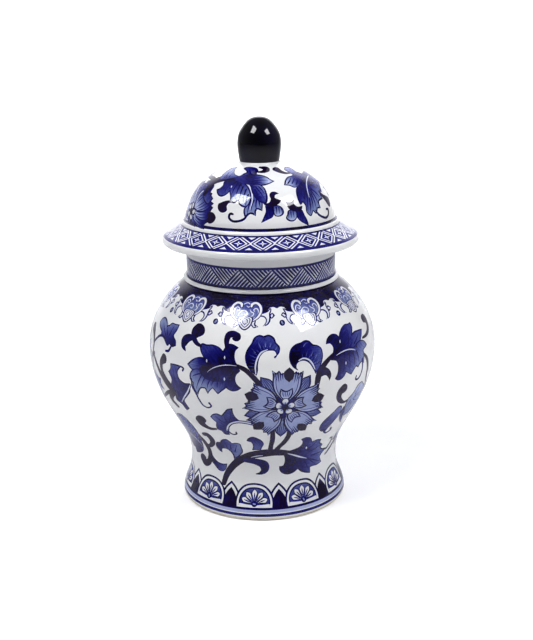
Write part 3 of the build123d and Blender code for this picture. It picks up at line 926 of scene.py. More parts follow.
# ---------------------------------------------------------------- motifs of the bands
def medallion(art, chart):
    """A round cloud under the dark collar: side ribbons, a field of tendrils, two horns and a hanging tip."""
    def mirrored(points, side):
        return [(x * side, *rest) for x, *rest in points]

    for side in (1, -1):
        ribbon = [(8, 149.4, 1), (11, 149.8), (13.2, 150.8), (14.6, 153.8, 1), (15.4, 151), (15, 148.6),
                  (15.4, 146.4), (15.2, 143.4), (13.6, 141.2), (11, 140.7, 1), (12.4, 142.6), (12.6, 144.8),
                  (11.4, 146.4), (8, 147, 1)]
        knot = [(14.2, 147.3, 1), (16, 149.3), (18, 147.4, 1), (16, 145.4)]
        tail = [(3.2, 145.8, 1), (6.4, 146), (6.6, 143.8), (6.5, 142), (8.4, 140.3, 1), (5.6, 139.6),
                (4, 141.2), (2.4, 142.6, 1)]
        for points in (ribbon, knot, tail):
            art.wash(chart, mirrored(points, side), (0.04, 0.14), pen=0.75, ink=0.86)
    field = [(0, 158.2), (3.6, 157.6), (7, 156.4), (9.4, 153.4), (9.7, 150), (8.6, 147), (6.2, 144.8),
             (3.8, 142.4), (0, 140.6)]
    field += mirrored(field[-2:0:-1], -1)
    art.flat(chart, field, (0.42, 0.6), (0, 145), (0, 157))
    tendrils = ([(-4.6, 145.4), (-7.2, 148), (-7.3, 151.4), (-5.4, 153.4), (-3.9, 151.8), (-5, 150.6),
                 (-5.8, 151.6)],
                [(-4.6, 147.4), (-3.6, 149.8), (-1.2, 151.2), (0.8, 149.8), (0.2, 148), (-1.2, 148.6)],
                [(-3, 152.6), (-1.8, 155.4), (0.8, 156.6), (2.4, 154.8), (1.2, 153.4), (0, 154.4)],
                [(4.6, 145.4), (7.2, 147.6), (7.6, 150.6), (6.2, 152.6), (4.6, 151.6), (5.4, 150.2)],
                [(2, 146.8), (4.4, 147.6), (4.8, 149.2), (3.2, 150.2), (2.2, 151.8)])
    for points in tendrils:
        widths = np.interp(np.linspace(0, 1, len(points)), (0, 0.35, 0.8, 1), (0.14, 0.36, 0.34, 0.16))
        art.stroke(chart, [(x, height, width) for (x, height), width in zip(points, widths)], (0.08, 0.12),
            0.0)
    for side in (1, -1):
        horn = [(3, 153.8, 0.6), (3.3, 155.6, 0.85), (5.6, 156.5, 0.78), (8.1, 154.5, 0.75),
                (9.1, 151.2, 0.72), (8.5, 148.2, 0.68), (6.8, 145.8, 0.55), (5, 144.4, 0.35)]
        art.drawn(chart, mirrored(horn, side), (0.02, 0.06), 0.5, 0.8)
    for drop, tone in ((0, 0.88), (0.8, 0.05), (1.7, 0.84), (2.2, 0.08), (3.3, 0.7), (3.8, 0.1)):
        half, top, low = 4.7 - drop * 0.98, 146.2 - drop * 0.4, 138.0 + drop
        hip = low + 1.7 - drop * 0.2
        cup = [(-half, top), (0, top + 0.9), (half, top), (half * 0.94, 142.6), (half * 0.6, hip), (0, low),
               (-half * 0.6, hip), (-half * 0.94, 142.6)]
        art.flat(chart, cup, (tone, tone))


def cloud_gap(art, chart):
    """The white scallop between two medallions, and the ringed berry under it."""
    art.flat(chart,
        [(-7.4, 146, 1), (-6, 150), (-4.4, 152.8), (-1.8, 153.2), (0, 152.3), (1.8, 153.2), (4.4, 152.8),
         (6, 150), (7.4, 146, 1)],
        (0, 0))
    art.wash(chart, circle(1.7, 1.9, 12, (2, 142.4)), (0.3, 0.4), pen=0.95)


def lappet(art, chart):
    """A half-round panel with five white petals, standing on the foot's line."""
    def arch(half, top, base):
        side = [(half, base, 1), (half * 1.0, base + 3.4), (half * 0.83, base + (top - base) * 0.64),
                (half * 0.47, base + (top - base) * 0.92)]
        return side + [(0, top)] + [(-x, s, *corner) for x, s, *corner in side[::-1]]
    art.flat(chart, arch(12.9, 22.8, 6.7), (0.92, 0.92), warmth=0.1)
    art.flat(chart, arch(11.8, 21.6, 6.7), (0.03, 0.03))
    art.flat(chart, arch(10.3, 20, 7.8), (0.92, 0.92), warmth=0.1)
    art.flat(chart, arch(9.4, 19, 8.6), (0.72, 0.56), (0, 9), (0, 19))
    for angle, reach in ((90, 9.8), (55, 9.6), (125, 9.6), (22, 9.3), (158, 9.3)):
        petal = [(1.8, 0, 1), (4.8, 1.3), (7.4, 1.95), (reach, 0), (7.4, -1.95), (4.8, -1.3)]
        art.wash(chart, turned(petal, (0, 9), angle), (0.04, 0.06), pen=0.4, ink=0.94)
        art.stroke(chart, turned([(3.2, 0, 0.14), (5.4, 0, 0.4), (7.2, 0, 0.14)], (0, 9), angle),
            (0.85, 0.7))
    base = [(-9.6, 8.4, 0.75), (-5, 7.9, 0.75), (0, 7.6, 0.7), (5, 7.9, 0.75), (9.6, 8.4, 0.75)]
    art.stroke(chart, base, (0.05, 0.05), 0.0)
    art.wash(chart, circle(1.9, 1.9, 8, (0, 9.1)), (0.35, 0.35), pen=1.1)


def spearhead(art, chart):
    """The dark pointed leaf between two lappets, with a white and a blue line round its tip."""
    def ogive(half, top, base):
        side = [(half, base, 1), (half * 0.96, base + (top - base) * 0.45),
                (half * 0.5, base + (top - base) * 0.78)]
        return side + [(0, top, 1)] + [(-x, s, *corner) for x, s, *corner in side[::-1]]
    art.flat(chart, ogive(6.3, 22.9, 8), (0.92, 0.92), warmth=0.1)
    art.flat(chart, ogive(5.3, 21.2, 8), (0.04, 0.04))
    art.flat(chart, ogive(4.5, 18.6, 6), (0.99, 0.99), warmth=0.5)


def lattice_unit(art, chart, width):
    """Nested white diamonds round a small star, on the blue ground of the brim."""
    drawn_width = 14.9
    for half, tall, tone in ((8.5, 7.25, 0.06), (7.2, 6.15, 0.8), (5.85, 5.05, 0.06), (4.6, 3.95, 0.8)):
        diamond = [(half, 0), (0, tall), (-half, 0), (0, -tall)]
        ring = np.array(diamond) * (width / drawn_width, 1.0)
        art.area(chart, ring, (tone, tone), warmth=0.05)
    star = [
        (reach * cos(i * pi / 4), reach * 0.86 * sin(i * pi / 4)) for i, reach in enumerate((2.9, 0.9) * 4)
    ]
    art.area(chart, np.array(star), (0.1, 0.1))
    art.area(chart, np.array([(0.5, 0), (0, 0.5), (-0.5, 0), (0, -0.5)]), (0.6, 0.6))
    for side in (-1, 1):
        spot = [(width / 2 - 2.4, 5.5 * side), (width / 2 + 2.4, 5.5 * side), (width / 2, 3.4 * side)]
        art.area(chart, np.array(spot), (0.1, 0.1))


def zigzag_strokes(art, chart, pitch, low, high, count=8):
    """Slanting strokes that fill one triangle pointing down and the next one pointing up."""
    tall = high - low
    half = 0.6
    for i in range(count):
        share = (i + 0.5) / count
        lean = pitch / 2 * (1 - share)
        for start, edge, way in ((-pitch / 2 + pitch * share, high, -1), (pitch * share, low, 1)):
            rise = way * tall * (1 - share)
            slant = [(start, edge, half), (start + lean * 0.5, edge + rise * 0.5, half * 1.1),
                     (start + lean, edge + rise, half * 0.7)]
            art.stroke(chart, slant, (0.84, 0.92), 0.0)


# ---------------------------------------------------------------- the jar's painting
clouds = 10                                     # medallions, and as many lappets
weaves = 15
weave_pitch = 20.4                              # mm round the neck from one weave to the next
under_bead = (50.8, 150.9)                      # radius and height where the collar stops


def scroll(art, section, centre):
    """The flower and its leaves, as they show round one direction of the jar."""
    front = Chart(section, centre)
    upper_leaves(art, front)
    lower_leaves(art, front)
    left_leaves(art, Chart(section, centre - radians(55)))
    right_leaves(art, Chart(section, centre + radians(55)))
    peony(art, front, (13.5, 88.2), 1.045)


def spaced(even):
    """An angle in degrees of an even division, drifted as it is when a band is spaced by eye."""
    drift = 1.5
    return radians(even + drift * sin(radians(even)))


def paint_jar(section):
    """The foot's rings, the scroll, the lappets, the medallions under the collar and the neck's weave."""
    art = Painting(section, 11)
    neck_at = section.corners[-1]
    collar_top = section.near(under_bead)
    art.band(0.8, 2.6, 0.82, 0.1)                   # the line along the foot
    art.band(3.2, 5.2, 0.22)                        # a pale ring over it
    art.band(5.2, 6.7, 0.92, 0.2)                   # the line that the lappets stand on
    art.band(149.5, collar_top, 0.99, 0.25)         # the dark collar
    weave_low, weave_high = 1.4, 12.2
    art.band(neck_at - 0.8, neck_at + 1.6, 0.93)    # the line under the weave
    # The pale blue ground of the weave band is painted shade, where the lid's brim shades the neck.
    art.band(neck_at + 1.6, neck_at + weave_high, 0.13)
    art.band(neck_at + weave_high, neck_at + 13.7, 0.88)
    for centre in (0.0, pi):
        scroll(art, section, centre)
        back_filler(art, Chart(section, centre + radians(100)))
    for motif, first, place in (
        (cloud_gap, 9, spaced), (medallion, -9, spaced), (spearhead, 10.8, radians),
        (lappet, -7.2, radians),
    ):
        for k in range(clouds):
            motif(art, Chart(section, place(first + 360 / clouds * k)))
    for k in range(weaves):
        chart = Chart(section, radians(360 / weaves * k - 5.4), neck_at)
        zigzag_strokes(art, chart, weave_pitch, weave_low, weave_high)
    return art


# ---------------------------------------------------------------- the lid's painting
diamonds = 24
brim_inside = (50.6, 188.3)                     # radius and height where the brim leaves the dome


def lid_scroll(art, section, centre):
    """Half of the lid's flower scroll."""
    left = Chart(section, centre - radians(15))
    right = Chart(section, centre + radians(15))
    flower_at = (-43, 8)
    for angle, size in (
        (-160, 0.8), (-115, 0.44), (-70, 0.42), (-34, 0.68), (-12, 1.1), (160, 1.3), (128, 1.2), (96, 1.2),
        (64, 1.25), (12, 1.28), (34, 1.34),
    ):
        petal = [(2.5, 0, 1), (6, 3.6), (10.5, 5.4), (14.6, 5.4), (18.2, 4.8, 1), (16.6, 2.4), (18.8, 0, 1),
                 (16.6, -2.6), (17.8, -5.2, 1), (12, -5.8), (6.6, -3.8)]
        art.wash(left, turned(petal, flower_at, angle, size), (0.2, 0.86),
            *turned([(7, 0), (15, 0)], flower_at, angle, size), pen=0.85)
        for v in (4.4, 2.9, 1.4, -1.4, -2.9, -4.4):
            streak = [(5.0, v * 0.5, 0.1), (9.6, v * 0.9, 0.34), (13.4, v, 0.1)]
            art.stroke(left, turned(streak, flower_at, angle, size), (0.5, 0.95))
        edge = [(6.4, 2.6, 0.1), (10.5, 4.4, 0.5), (15.6, 4.3, 0.15)]
        art.stroke(left, turned(edge, flower_at, angle, size), (0.1, 0.2), 0.0)
    art.wash(left,
        [(-33.6, 30.4, 1), (-26.4, 31.4), (-22.6, 27.4), (-23.8, 22.4), (-20.4, 18.6, 1), (-24.6, 14.4),
         (-29.4, 17), (-32.4, 23)],
        (0.9, 0.6), (-25, 28), (-31, 19), pen=0.8, warmth=0.3)
    art.flat(left,
        [(-16.6, 7), (-18.2, 9.4), (-21, 10.2), (-24.2, 8.8, 1), (-22.8, 7), (-24.4, 5, 1), (-21.8, 3),
         (-18.4, 4)],
        (0.99, 0.99), warmth=0.7)
    for angle in range(0, 360, 72):
        floret = [(0.9, 0, 1), (2.8, 2), (5.2, 2), (6.3, 0), (5.2, -2), (2.8, -2)]
        art.wash(left, turned(floret, flower_at, angle), (0.05, 0.12), pen=0.8)
    art.flat(left, turned(circle(2, 2, 6), flower_at, 0), (0.99, 0.99), warmth=0.6)
    stem(art, left, [(-50, 31.4, 0.9), (-42, 33, 1.2), (-34, 33.4, 1.5), (-27, 33, 2)], 0.6)
    stem(art, left,
        [(-29.4, 20.6, 1.4), (-28.4, 25.4, 2.2), (-25.4, 30.2, 2.6), (-20.2, 33.6, 2.8), (-13, 35.8, 2.4),
         (-6.4, 36.2, 1.2)],
        0.6)
    art.wash(left,
        [(-21, 33.2, 1), (-20.4, 38.2), (-18.6, 43), (-15.2, 46.8), (-10.4, 48.8, 1), (-11.4, 44.6),
         (-9.8, 40.6), (-4.4, 38, 1), (-12, 35)],
        (0.34, 0.6), (-13, 46), (-15, 36), pen=0.6, warmth=0.5)
    veins(art, left, ((-17, 35, -12, 46), (-15, 36, -15.4, 45), (-13, 36.4, -11, 41)), (0.4, 0.3, 0.1),
        (0.85, 0.6), 0.4, (-0.6, 0))
    art.flat(left,
        [(-10, 34.6), (-4, 36.4), (3, 35.4), (9, 30), (10.6, 22), (8.6, 14), (5, 12), (1, 20), (-7.6, 27)],
        (0.9, 0.8), warmth=0.1)
    leaf(art, left,
        [[(-15.6, 31.6), (-15.4, 29), (-16.6, 27), (-19.4, 25.3, 1), (-18.4, 22.8), (-16.4, 20.9),
          (-14, 20.6), (-11.2, 22), (-9.2, 24.4), (-8.4, 29), (-9.6, 34.4), (-13.4, 35)],
         [(-10, 31), (-9.2, 24.4), (-8, 21.2), (-7.6, 18.4, 1), (-5, 16.8), (-2.4, 18.4, 1), (-1.6, 16.4),
          (0.6, 14.8), (3.4, 14.4), (5.6, 18), (4.6, 24), (1.6, 30), (-4, 34.9)]],
        (0.93, 0.3), (-7, 33), (-1, 19), pen=0.85, warmth=0.1)
    leaf(art, left,
        [[(4.2, 17), (1.8, 13.6), (2, 10.4), (3.2, 8.2), (6.2, 10.4), (9.6, 9.2, 1), (9.8, 13.2),
          (13.2, 12.2, 1), (13, 17), (10.4, 24), (6, 30.6), (-1, 35.6), (3.6, 26)]],
        (0.92, 0.36), (4, 30), (8, 12), pen=0.85, warmth=0.15)
    veins(art, left,
        ((-9, 32, -13.4, 22.6), (-7, 32, -10.6, 25), (-5, 31.6, -7.4, 22), (-3, 30.6, -4.4, 19.6),
         (-1, 29, -1.6, 19), (1.4, 27, 1, 17.6), (3.4, 23, 2.8, 14.4), (5.8, 20, 4.2, 10.6),
         (7.4, 19, 6.4, 12.4), (9, 20, 9.6, 12.4), (10, 22, 12, 14)),
        (0.5, 0.38, 0.1), (0.97, 0.85), bend=(-0.3, 0))
    reserve(art, left,
        [(-7.5, 35.6, 0.2), (-2.6, 34, 0.45), (2.4, 29.8, 0.5), (5.4, 24, 0.5), (6.4, 18.4, 0.4),
         (5.6, 13.2, 0.2)])
    dots(art, left, [(-8.7, 28.5), (7.4, 30.2)], 0.8)
    art.stroke(left,
        [(4.6, 10.6, 0.4), (2.6, 7.4, 0.7), (-1.4, 5.8, 0.7), (-5, 5.9, 0.7), (-7.2, 7.8, 0.7),
         (-6.6, 10.2, 0.8), (-4.8, 10, 0.6)],
        (0.9, 0.97), 0.3)
    comma(art, left, [(-5.8, 17.8, 0.5), (-8.6, 17.6, 0.9), (-11.2, 15.8, 2.2), (-12.2, 14.2, 3.7)], 0.97,
        0.7)

    art.flat(right, [(-24.4, 36), (-19, 39.6), (-15.6, 42.4), (-9, 42.6), (-8.6, 37), (-12, 30), (-17, 31)],
        (0.9, 0.74), (-12, 34), (-21, 38), 0.3)
    leaf(art, right,
        [[(-15.4, 47.6), (-13.4, 49.3), (-10, 49.9), (-6.9, 48.6), (-6.4, 45.4), (-8, 42.6), (-9, 39.6),
          (-14, 39), (-17.4, 40.4), (-14.2, 44)]],
        (0.97, 0.7), (-7, 44), (-13, 46), pen=0.9, warmth=0.1)
    leaf(art, right,
        [[(-15, 40.6), (-10, 41.2), (-6, 40.3), (-3, 38.2), (-1.2, 35.2), (0.8, 33.4, 1), (-3, 31.2),
          (-7, 29.8), (-12, 30), (-16, 34)]],
        (0.96, 0.2), (-12, 36), (-3, 34.6), pen=0.9, warmth=0.1)
    leaf(art, right,
        [[(-9, 31), (-6.8, 28), (-6.2, 24.6), (-6.4, 19.6), (-7.6, 17), (-10.4, 17.2), (-13.4, 20),
          (-15.2, 26), (-14, 31)]],
        (0.93, 0.48), (-14, 24), (-8, 26), pen=0.9, warmth=0.1)
    veins(art, right,
        ((-12, 36, -4, 37.6), (-12, 34.6, -3, 34.4), (-12, 33, -6, 31.6), (-12, 29, -8, 19),
         (-13, 27, -11, 19), (-10, 29, -7.4, 23), (-12, 40, -12, 47), (-10, 41, -8.4, 46.6)),
        (0.45, 0.34, 0.08), (0.95, 0.8), bend=(0, 0.4))
    comma(art, right,
        [(-8.4, 44.2, 0.7), (-4.6, 43.8, 1.3), (-1.4, 45.8, 2.2), (-1.4, 48, 2.4), (-3.8, 49.2, 1.4)], 0.98,
        0.6)
    for body, sepal, calyx, start, end in (
        ([(-3.6, 15.6), (-0.4, 15.4), (2.3, 13), (2.4, 10.2), (0.2, 8.6), (-3, 8.8)],
         [(-8.6, 15.4, 1), (-8.6, 12), (-10.2, 8.6), (-12.2, 4.9, 1), (-8.4, 6.6), (-4.6, 8.6), (-3.4, 12),
          (-4, 15.4, 1)],
         [(-4.4, 19.8, 1), (-4.9, 22), (-4, 24), (-1.6, 24.8), (1.2, 23.2, 1), (-1.4, 22.2), (-1.9, 20.4),
          (-0.4, 19.4), (2.2, 18.8, 1), (0, 16.4), (-3, 15), (-7.2, 14.8), (-9.6, 16.8, 1), (-5.6, 17.6)],
         (-1, 15), (0, 9)),
        ([(4.4, 9.2), (5.2, 11.6), (7.6, 12.4), (11, 11.2), (11.2, 7.8), (8.6, 5), (5, 5.3), (3.4, 7.2)],
         [(11.2, 11.8, 1), (14.8, 11.5), (16.6, 7.8), (18.2, 4.4), (19.2, 0.9, 1), (16, 2.6), (12.8, 4.6),
          (10.6, 7.6)],
         [(4.4, 17.4, 1), (7, 16.8), (10.6, 18.3, 1), (9.9, 15.4), (11.6, 13.8), (15.8, 13.6, 1),
          (14.6, 11.2), (10, 10.7), (6.2, 12.6)],
         (8, 12), (8, 5)),
    ):
        art.wash(right, body, (0.62, 0.16), start, end, pen=0.75)
        middle = np.mean([point[:2] for point in body], axis=0)
        for lean in (-1.5, 0, 1.5):
            vein = [(middle[0] + lean, middle[1] + 2.2, 0.34), (middle[0] + lean * 1.2, middle[1] - 1.6, 0.1)]
            art.stroke(right, vein, (0.9, 0.9))
        art.wash(right, sepal, (0.94, 0.78), start, end, pen=0.6)
        art.wash(right, calyx, (0.98, 0.95), start, end, pen=0.3, warmth=0.5)
    leaf(art, right,
        [[(24, 38), (20.8, 41.2), (19.4, 44.4), (16.8, 46.8), (13.4, 47.2), (11.2, 45.2), (12.2, 42.4, 1),
          (14.4, 39.6), (17, 36.6)]],
        (0.5, 0.75), (14, 46), (20, 38), warmth=0.4)
    art.wash(right,
        [(25, 36), (33, 38.2), (41, 37), (48, 33.2, 1), (42.4, 30.4), (47.4, 26.4, 1), (41, 24.2),
         (38.4, 19.6, 1), (33, 21), (28, 26)],
        (0.86, 0.5), (29, 30), (44, 30), pen=0.8, warmth=0.4)
    leaf(art, right,
        [[(6, 29.3, 1), (8, 33.8), (11, 36.6), (14.4, 37.2), (18, 39.6), (24, 38.6), (29, 33.4), (24, 28.4),
          (20, 25.6), (16, 26.6), (12.4, 26.6), (9.6, 28.4)]],
        (0.2, 0.84), (9, 31), (18, 33), pen=0.85, warmth=0.05)
    leaf(art, right,
        [[(16, 27.6), (13.8, 25.8), (12.8, 22), (13.2, 17.4), (14.6, 14.5), (16.6, 15.8, 1), (18, 13.6),
          (18.2, 9.6), (21.6, 6.6), (24, 9.4, 1), (26.4, 7.4), (28.6, 10.4, 1), (31.8, 10.2, 1), (31.2, 14),
          (36.8, 15.4, 1), (35.4, 19), (38.6, 22.4, 1), (35.2, 25.6), (38.6, 29.8, 1), (33.8, 34.6),
          (28.2, 36.2), (22.6, 32.4)]],
        (0.94, 0.38), (18, 26), (28, 12), pen=0.85, warmth=0.12)
    veins(art, right,
        ((9, 30.4, 13, 35.4), (12, 30, 17, 37), (15, 29, 20, 37), (18, 26, 15, 17.4), (19.6, 25, 17.4, 16),
         (21, 24, 19.6, 11), (22.4, 20, 21.6, 8.4), (24, 20, 24.4, 11), (25, 21, 27.4, 10),
         (25.6, 23, 30.6, 12), (26, 24, 34, 16.6), (27, 27, 36, 22.4), (28, 30, 36.4, 29),
         (29, 32, 45, 32.6), (29, 28, 44, 26.4)),
        (0.5, 0.4, 0.1), (0.97, 0.85), bend=(0.3, 0))
    reserve(art, right,
        [(33.6, 33.6, 0.2), (28.2, 32, 0.5), (24.2, 28.2, 0.5), (22.6, 23.4, 0.45), (22.4, 18.4, 0.2)])
    art.stroke(right,
        [(26.4, 9.6, 0.4), (28.4, 6.8, 0.7), (32.4, 4.6, 0.7), (36.4, 3.6, 0.7), (40, 5.2, 0.8),
         (40.8, 8, 0.9), (38.4, 8.6, 0.6)],
        (0.9, 0.97), 0.3)
    comma(art, right, [(34.6, 20.6, 0.8), (37.4, 17.4, 1.2), (41.6, 14.6, 2.2), (45, 12.2, 3.2)], 0.96, 0.6)
    comma(art, right, [(14.6, 40, 0.7), (10.4, 40.8, 1.2), (7.4, 43, 1.8), (5.4, 46, 2.6)], 0.96, 0.6)


def paint_lid(section):
    """The line round the dome's foot, the scroll, and the lattice between two lines on the brim."""
    art = Painting(section, 23)
    brim = section.near(brim_inside)
    lattice_low, lattice_high, lattice_middle = brim - 13.7, brim - 2.4, brim - 8.0
    art.band(-1, 1.3, 0.93, 0.1)
    art.band(lattice_low, lattice_high, 0.82, 0.05)
    for centre in (0.0, pi):
        lid_scroll(art, section, centre)
    for k in range(diamonds):
        chart = Chart(section, radians(1.2 + 360 / diamonds * k), lattice_middle)
        lattice_unit(art, chart, turn * section.radius(lattice_middle) / diamonds)
    art.band(lattice_high, brim - 1.4, 0.85, 0.1)
    art.band(brim - 15.8, lattice_low, 0.86, 0.1)
    return art


# ---------------------------------------------------------------- materials
class Nodes:
    """A material being built from nodes."""

    def __init__(self, name):
        self.material = bpy.data.materials.new(name)
        self.material.use_nodes = True
        self.tree = self.material.node_tree
        self.shader = self.tree.nodes["Principled BSDF"]

    def put(self, value, socket):
        if hasattr(value, "node"):
            self.tree.links.new(value, socket)
        else:
            socket.default_value = value

    def math(self, operation, a, b=0.0, clamp=False):
        node = self.tree.nodes.new("ShaderNodeMath")
        node.operation = operation
        node.use_clamp = clamp
        self.put(a, node.inputs[0])
        self.put(b, node.inputs[1])
        return node.outputs[0]

    def mix(self, share, a, b):
        """Between two colours."""
        node = self.tree.nodes.new("ShaderNodeMix")
        node.data_type = "RGBA"
        self.put(share, node.inputs[0])
        self.put(a, node.inputs[6])
        self.put(b, node.inputs[7])
        return node.outputs[2]

    def noise(self, scale, detail=2.0, vector=None, roughness=0.5):
        node = self.tree.nodes.new("ShaderNodeTexNoise")
        node.inputs["Scale"].default_value = scale
        node.inputs["Detail"].default_value = detail
        node.inputs["Roughness"].default_value = roughness
        if vector is None:
            vector = self.tree.nodes.new("ShaderNodeTexCoord").outputs["Object"]
        self.put(vector, node.inputs["Vector"])
        return node.outputs[0]

    def ramp(self, value, stops):
        node = self.tree.nodes.new("ShaderNodeValToRGB")
        while len(node.color_ramp.elements) < len(stops):
            node.color_ramp.elements.new(0.5)
        for element, (place, colour) in zip(node.color_ramp.elements, stops):
            element.position = place
            element.color = colour
        self.put(value, node.inputs[0])
        return node.outputs[0]

    def attribute(self, name):
        node = self.tree.nodes.new("ShaderNodeAttribute")
        node.attribute_name = name
        split = self.tree.nodes.new("ShaderNodeSeparateXYZ")
        self.put(node.outputs["Vector"], split.inputs[0])
        return split.outputs

    def combine(self, x, y, z):
        node = self.tree.nodes.new("ShaderNodeCombineXYZ")
        for value, socket in zip((x, y, z), node.inputs):
            self.put(value, socket)
        return node.outputs[0]

    def roughness(self, scale, least, spread):
        """A roughness that varies slowly over the surface."""
        rough = self.math("MULTIPLY_ADD", self.noise(scale, 2), spread)
        rough.node.inputs[2].default_value = least
        return rough

    def finish(self, colour, roughness, height, depth):
        """Colour and roughness go to the shader, and a height through a bump node, depth in metres."""
        bump = self.tree.nodes.new("ShaderNodeBump")
        bump.inputs["Distance"].default_value = depth
        self.put(height, bump.inputs["Height"])
        self.put(bump.outputs[0], self.shader.inputs["Normal"])
        self.put(colour, self.shader.inputs["Base Color"])
        self.put(roughness, self.shader.inputs["Roughness"])
        return self.material


def srgb(r, g, b):
    """A colour given as it is seen, from 0 to 255, as linear light."""
    return tuple(((v / 255 + 0.055) / 1.055) ** 2.4 if v > 10 else v / 3295 for v in (r, g, b)) + (1.0,)


black, white = (0, 0, 0, 1), (1, 1, 1, 1)
porcelain_white = srgb(226, 226, 226)
porcelain_cool = srgb(217, 219, 223)
cobalt_pale = srgb(174, 182, 218)
cobalt_wash = srgb(134, 146, 184)
cobalt_mid = srgb(80, 88, 154)
cobalt_dark = srgb(34, 32, 126)
cobalt_ink = srgb(14, 9, 98)
cobalt_black = srgb(13, 2, 40)
cobalt_brown = srgb(38, 18, 56)

glaze_depth = 0.00012                           # m, of the glaze's waves


def white_ground(n):
    """White porcelain with faint cool clouding."""
    cloud = n.ramp(n.noise(22, 3), [(0.35, black), (0.7, white)])
    return n.mix(n.math("MULTIPLY", cloud, 0.55), porcelain_white, porcelain_cool)


def glaze_height(n):
    """Slow waves and a fine orange-peel skin."""
    return n.math("ADD", n.math("MULTIPLY", n.noise(55, 2), 0.7), n.math("MULTIPLY", n.noise(420, 1), 0.08))


def painted_glaze():
    """Clear glaze over white porcelain and cobalt; the tone of each brush mark comes with the mesh."""
    n = Nodes("painted_glaze")
    tone, warmth, seed = n.attribute("paint")
    along, across, _ = n.attribute("brush")
    streaks = n.combine(
        n.math("MULTIPLY", along, 0.16), n.math("MULTIPLY", across, 1.7), n.math("MULTIPLY", seed, 90.0),
    )
    shift = 0.0
    for texture, strength in (
        (n.noise(1.0, 2.0, streaks), 0.5), (n.noise(130, 3), 0.42), (n.noise(640, 2, roughness=0.6), 0.3),
    ):
        shift = n.math("ADD", shift, n.math("MULTIPLY", n.math("SUBTRACT", texture, 0.5), strength))
    cover = n.math("GREATER_THAN", tone, 0.02)
    strayed = n.math("MULTIPLY", n.math("MULTIPLY", shift, cover), n.math("MULTIPLY", tone, 0.9))
    depth = n.math("ADD", tone, strayed, clamp=True)
    colour = n.ramp(depth, [
        (0.0, porcelain_white), (0.18, cobalt_pale), (0.38, cobalt_wash), (0.58, cobalt_mid),
        (0.78, cobalt_dark), (0.93, cobalt_ink), (1.0, cobalt_black),
    ])
    heaped = n.math("MULTIPLY", warmth, n.ramp(depth, [(0.62, black), (0.95, white)]))
    colour = n.mix(heaped, colour, cobalt_brown)
    colour = n.mix(n.math("MULTIPLY", tone, 4.0, clamp=True), white_ground(n), colour)
    rough = n.roughness(90, 0.05, 0.06)
    height = n.math("SUBTRACT", glaze_height(n), n.math("MULTIPLY", depth, 0.22))
    return n.finish(colour, rough, height, glaze_depth)


def plain_glaze():
    """The same clear glaze over unpainted porcelain."""
    n = Nodes("plain_glaze")
    rough = n.roughness(90, 0.06, 0.06)
    return n.finish(white_ground(n), rough, glaze_height(n), glaze_depth)


def bare_porcelain():
    """Unglazed, fired white clay, a little warm and dusty."""
    n = Nodes("bare_porcelain")
    colour = n.mix(n.noise(160, 4), srgb(205, 198, 186), srgb(228, 223, 214))
    rough = n.roughness(300, 0.55, 0.2)
    return n.finish(colour, rough, n.noise(1400, 3), 0.00008)


def knob_glaze():
    """Near-black cobalt with a wet gloss, thinner and bluer here and there."""
    n = Nodes("knob_glaze")
    thin = n.ramp(n.noise(70, 4), [(0.42, black), (0.72, white)])
    colour = n.mix(thin, srgb(5, 3, 14), srgb(14, 9, 44))
    rough = n.roughness(60, 0.05, 0.05)
    return n.finish(colour, rough, glaze_height(n), 0.00015)


# ---------------------------------------------------------------- the pieces
def nearest(line, place):
    """Which point of a half section is nearest a (radius, height)."""
    return int(np.argmin(np.hypot(*(line - place).T)))


def piece(name, mesh, materials, node, body):
    """A visible piece that stands in for a CAD node and rides on its body."""
    thing = bpy.data.objects.new(name, mesh)
    bpy.context.scene.collection.objects.link(thing)
    for material in materials:
        mesh.materials.append(material)
    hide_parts(node)
    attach(thing, body)
    return thing


columns = 192                                   # faces round a piece
row_height = 3.0                                # mm, the most between two rows of a painted section
on_axis = (0, 0)
foot_edge = (55.7, 2.2)                         # radius and height where the painted side starts
brim_low = (61.1, 174.1)                        # where the painted side of the lid starts
dome_foot = (49.0, 189.6)                       # from where the lid's painting is measured
knob_seat = (13.4, 225.3)                       # where the painted dome meets the knob
painted, plain, bare = painted_glaze(), plain_glaze(), bare_porcelain()

jar_line = half_section("jar_body")
side_start = nearest(jar_line, foot_edge)
rim_top = int(np.argmax(jar_line[:, 1]))
jar_parts = Parts()
jar_skin = Section(jar_line[side_start: rim_top + 1], foot_edge)
add_painted(jar_parts, paint_jar(jar_skin), columns, row_height, (0.18, 0.996))
add_plain(jar_parts, Section(jar_line[rim_top:], on_axis), 1, columns, (0.05, 0.17), (None, 1))
add_plain(jar_parts, Section(jar_line[: side_start + 1], on_axis), 2, columns, (0.004, 0.045), (-1, None))
piece("jar", jar_parts.mesh("jar"), (painted, plain, bare), "jar_body", "jar")

lid_line = half_section("lid")
brim_start = nearest(lid_line, brim_low)
crown = nearest(lid_line, knob_seat)
lid_parts = Parts()
lid_skin = Section(lid_line[brim_start: crown + 1], dome_foot)
add_painted(lid_parts, paint_lid(lid_skin), columns, row_height, (0.25, 0.996))
add_plain(lid_parts, Section(lid_line[: brim_start + 1], on_axis), 1, columns, (0.06, 0.24), (-1, None))
add_plain(lid_parts, Section(lid_line[crown:], on_axis), 1, columns, (0.004, 0.05), (None, 1))
piece("lid_cover", lid_parts.mesh("lid_cover"), (painted, plain), "lid", "cover")

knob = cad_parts["knob"]
knob.data.materials.clear()
knob.data.materials.append(knob_glaze())


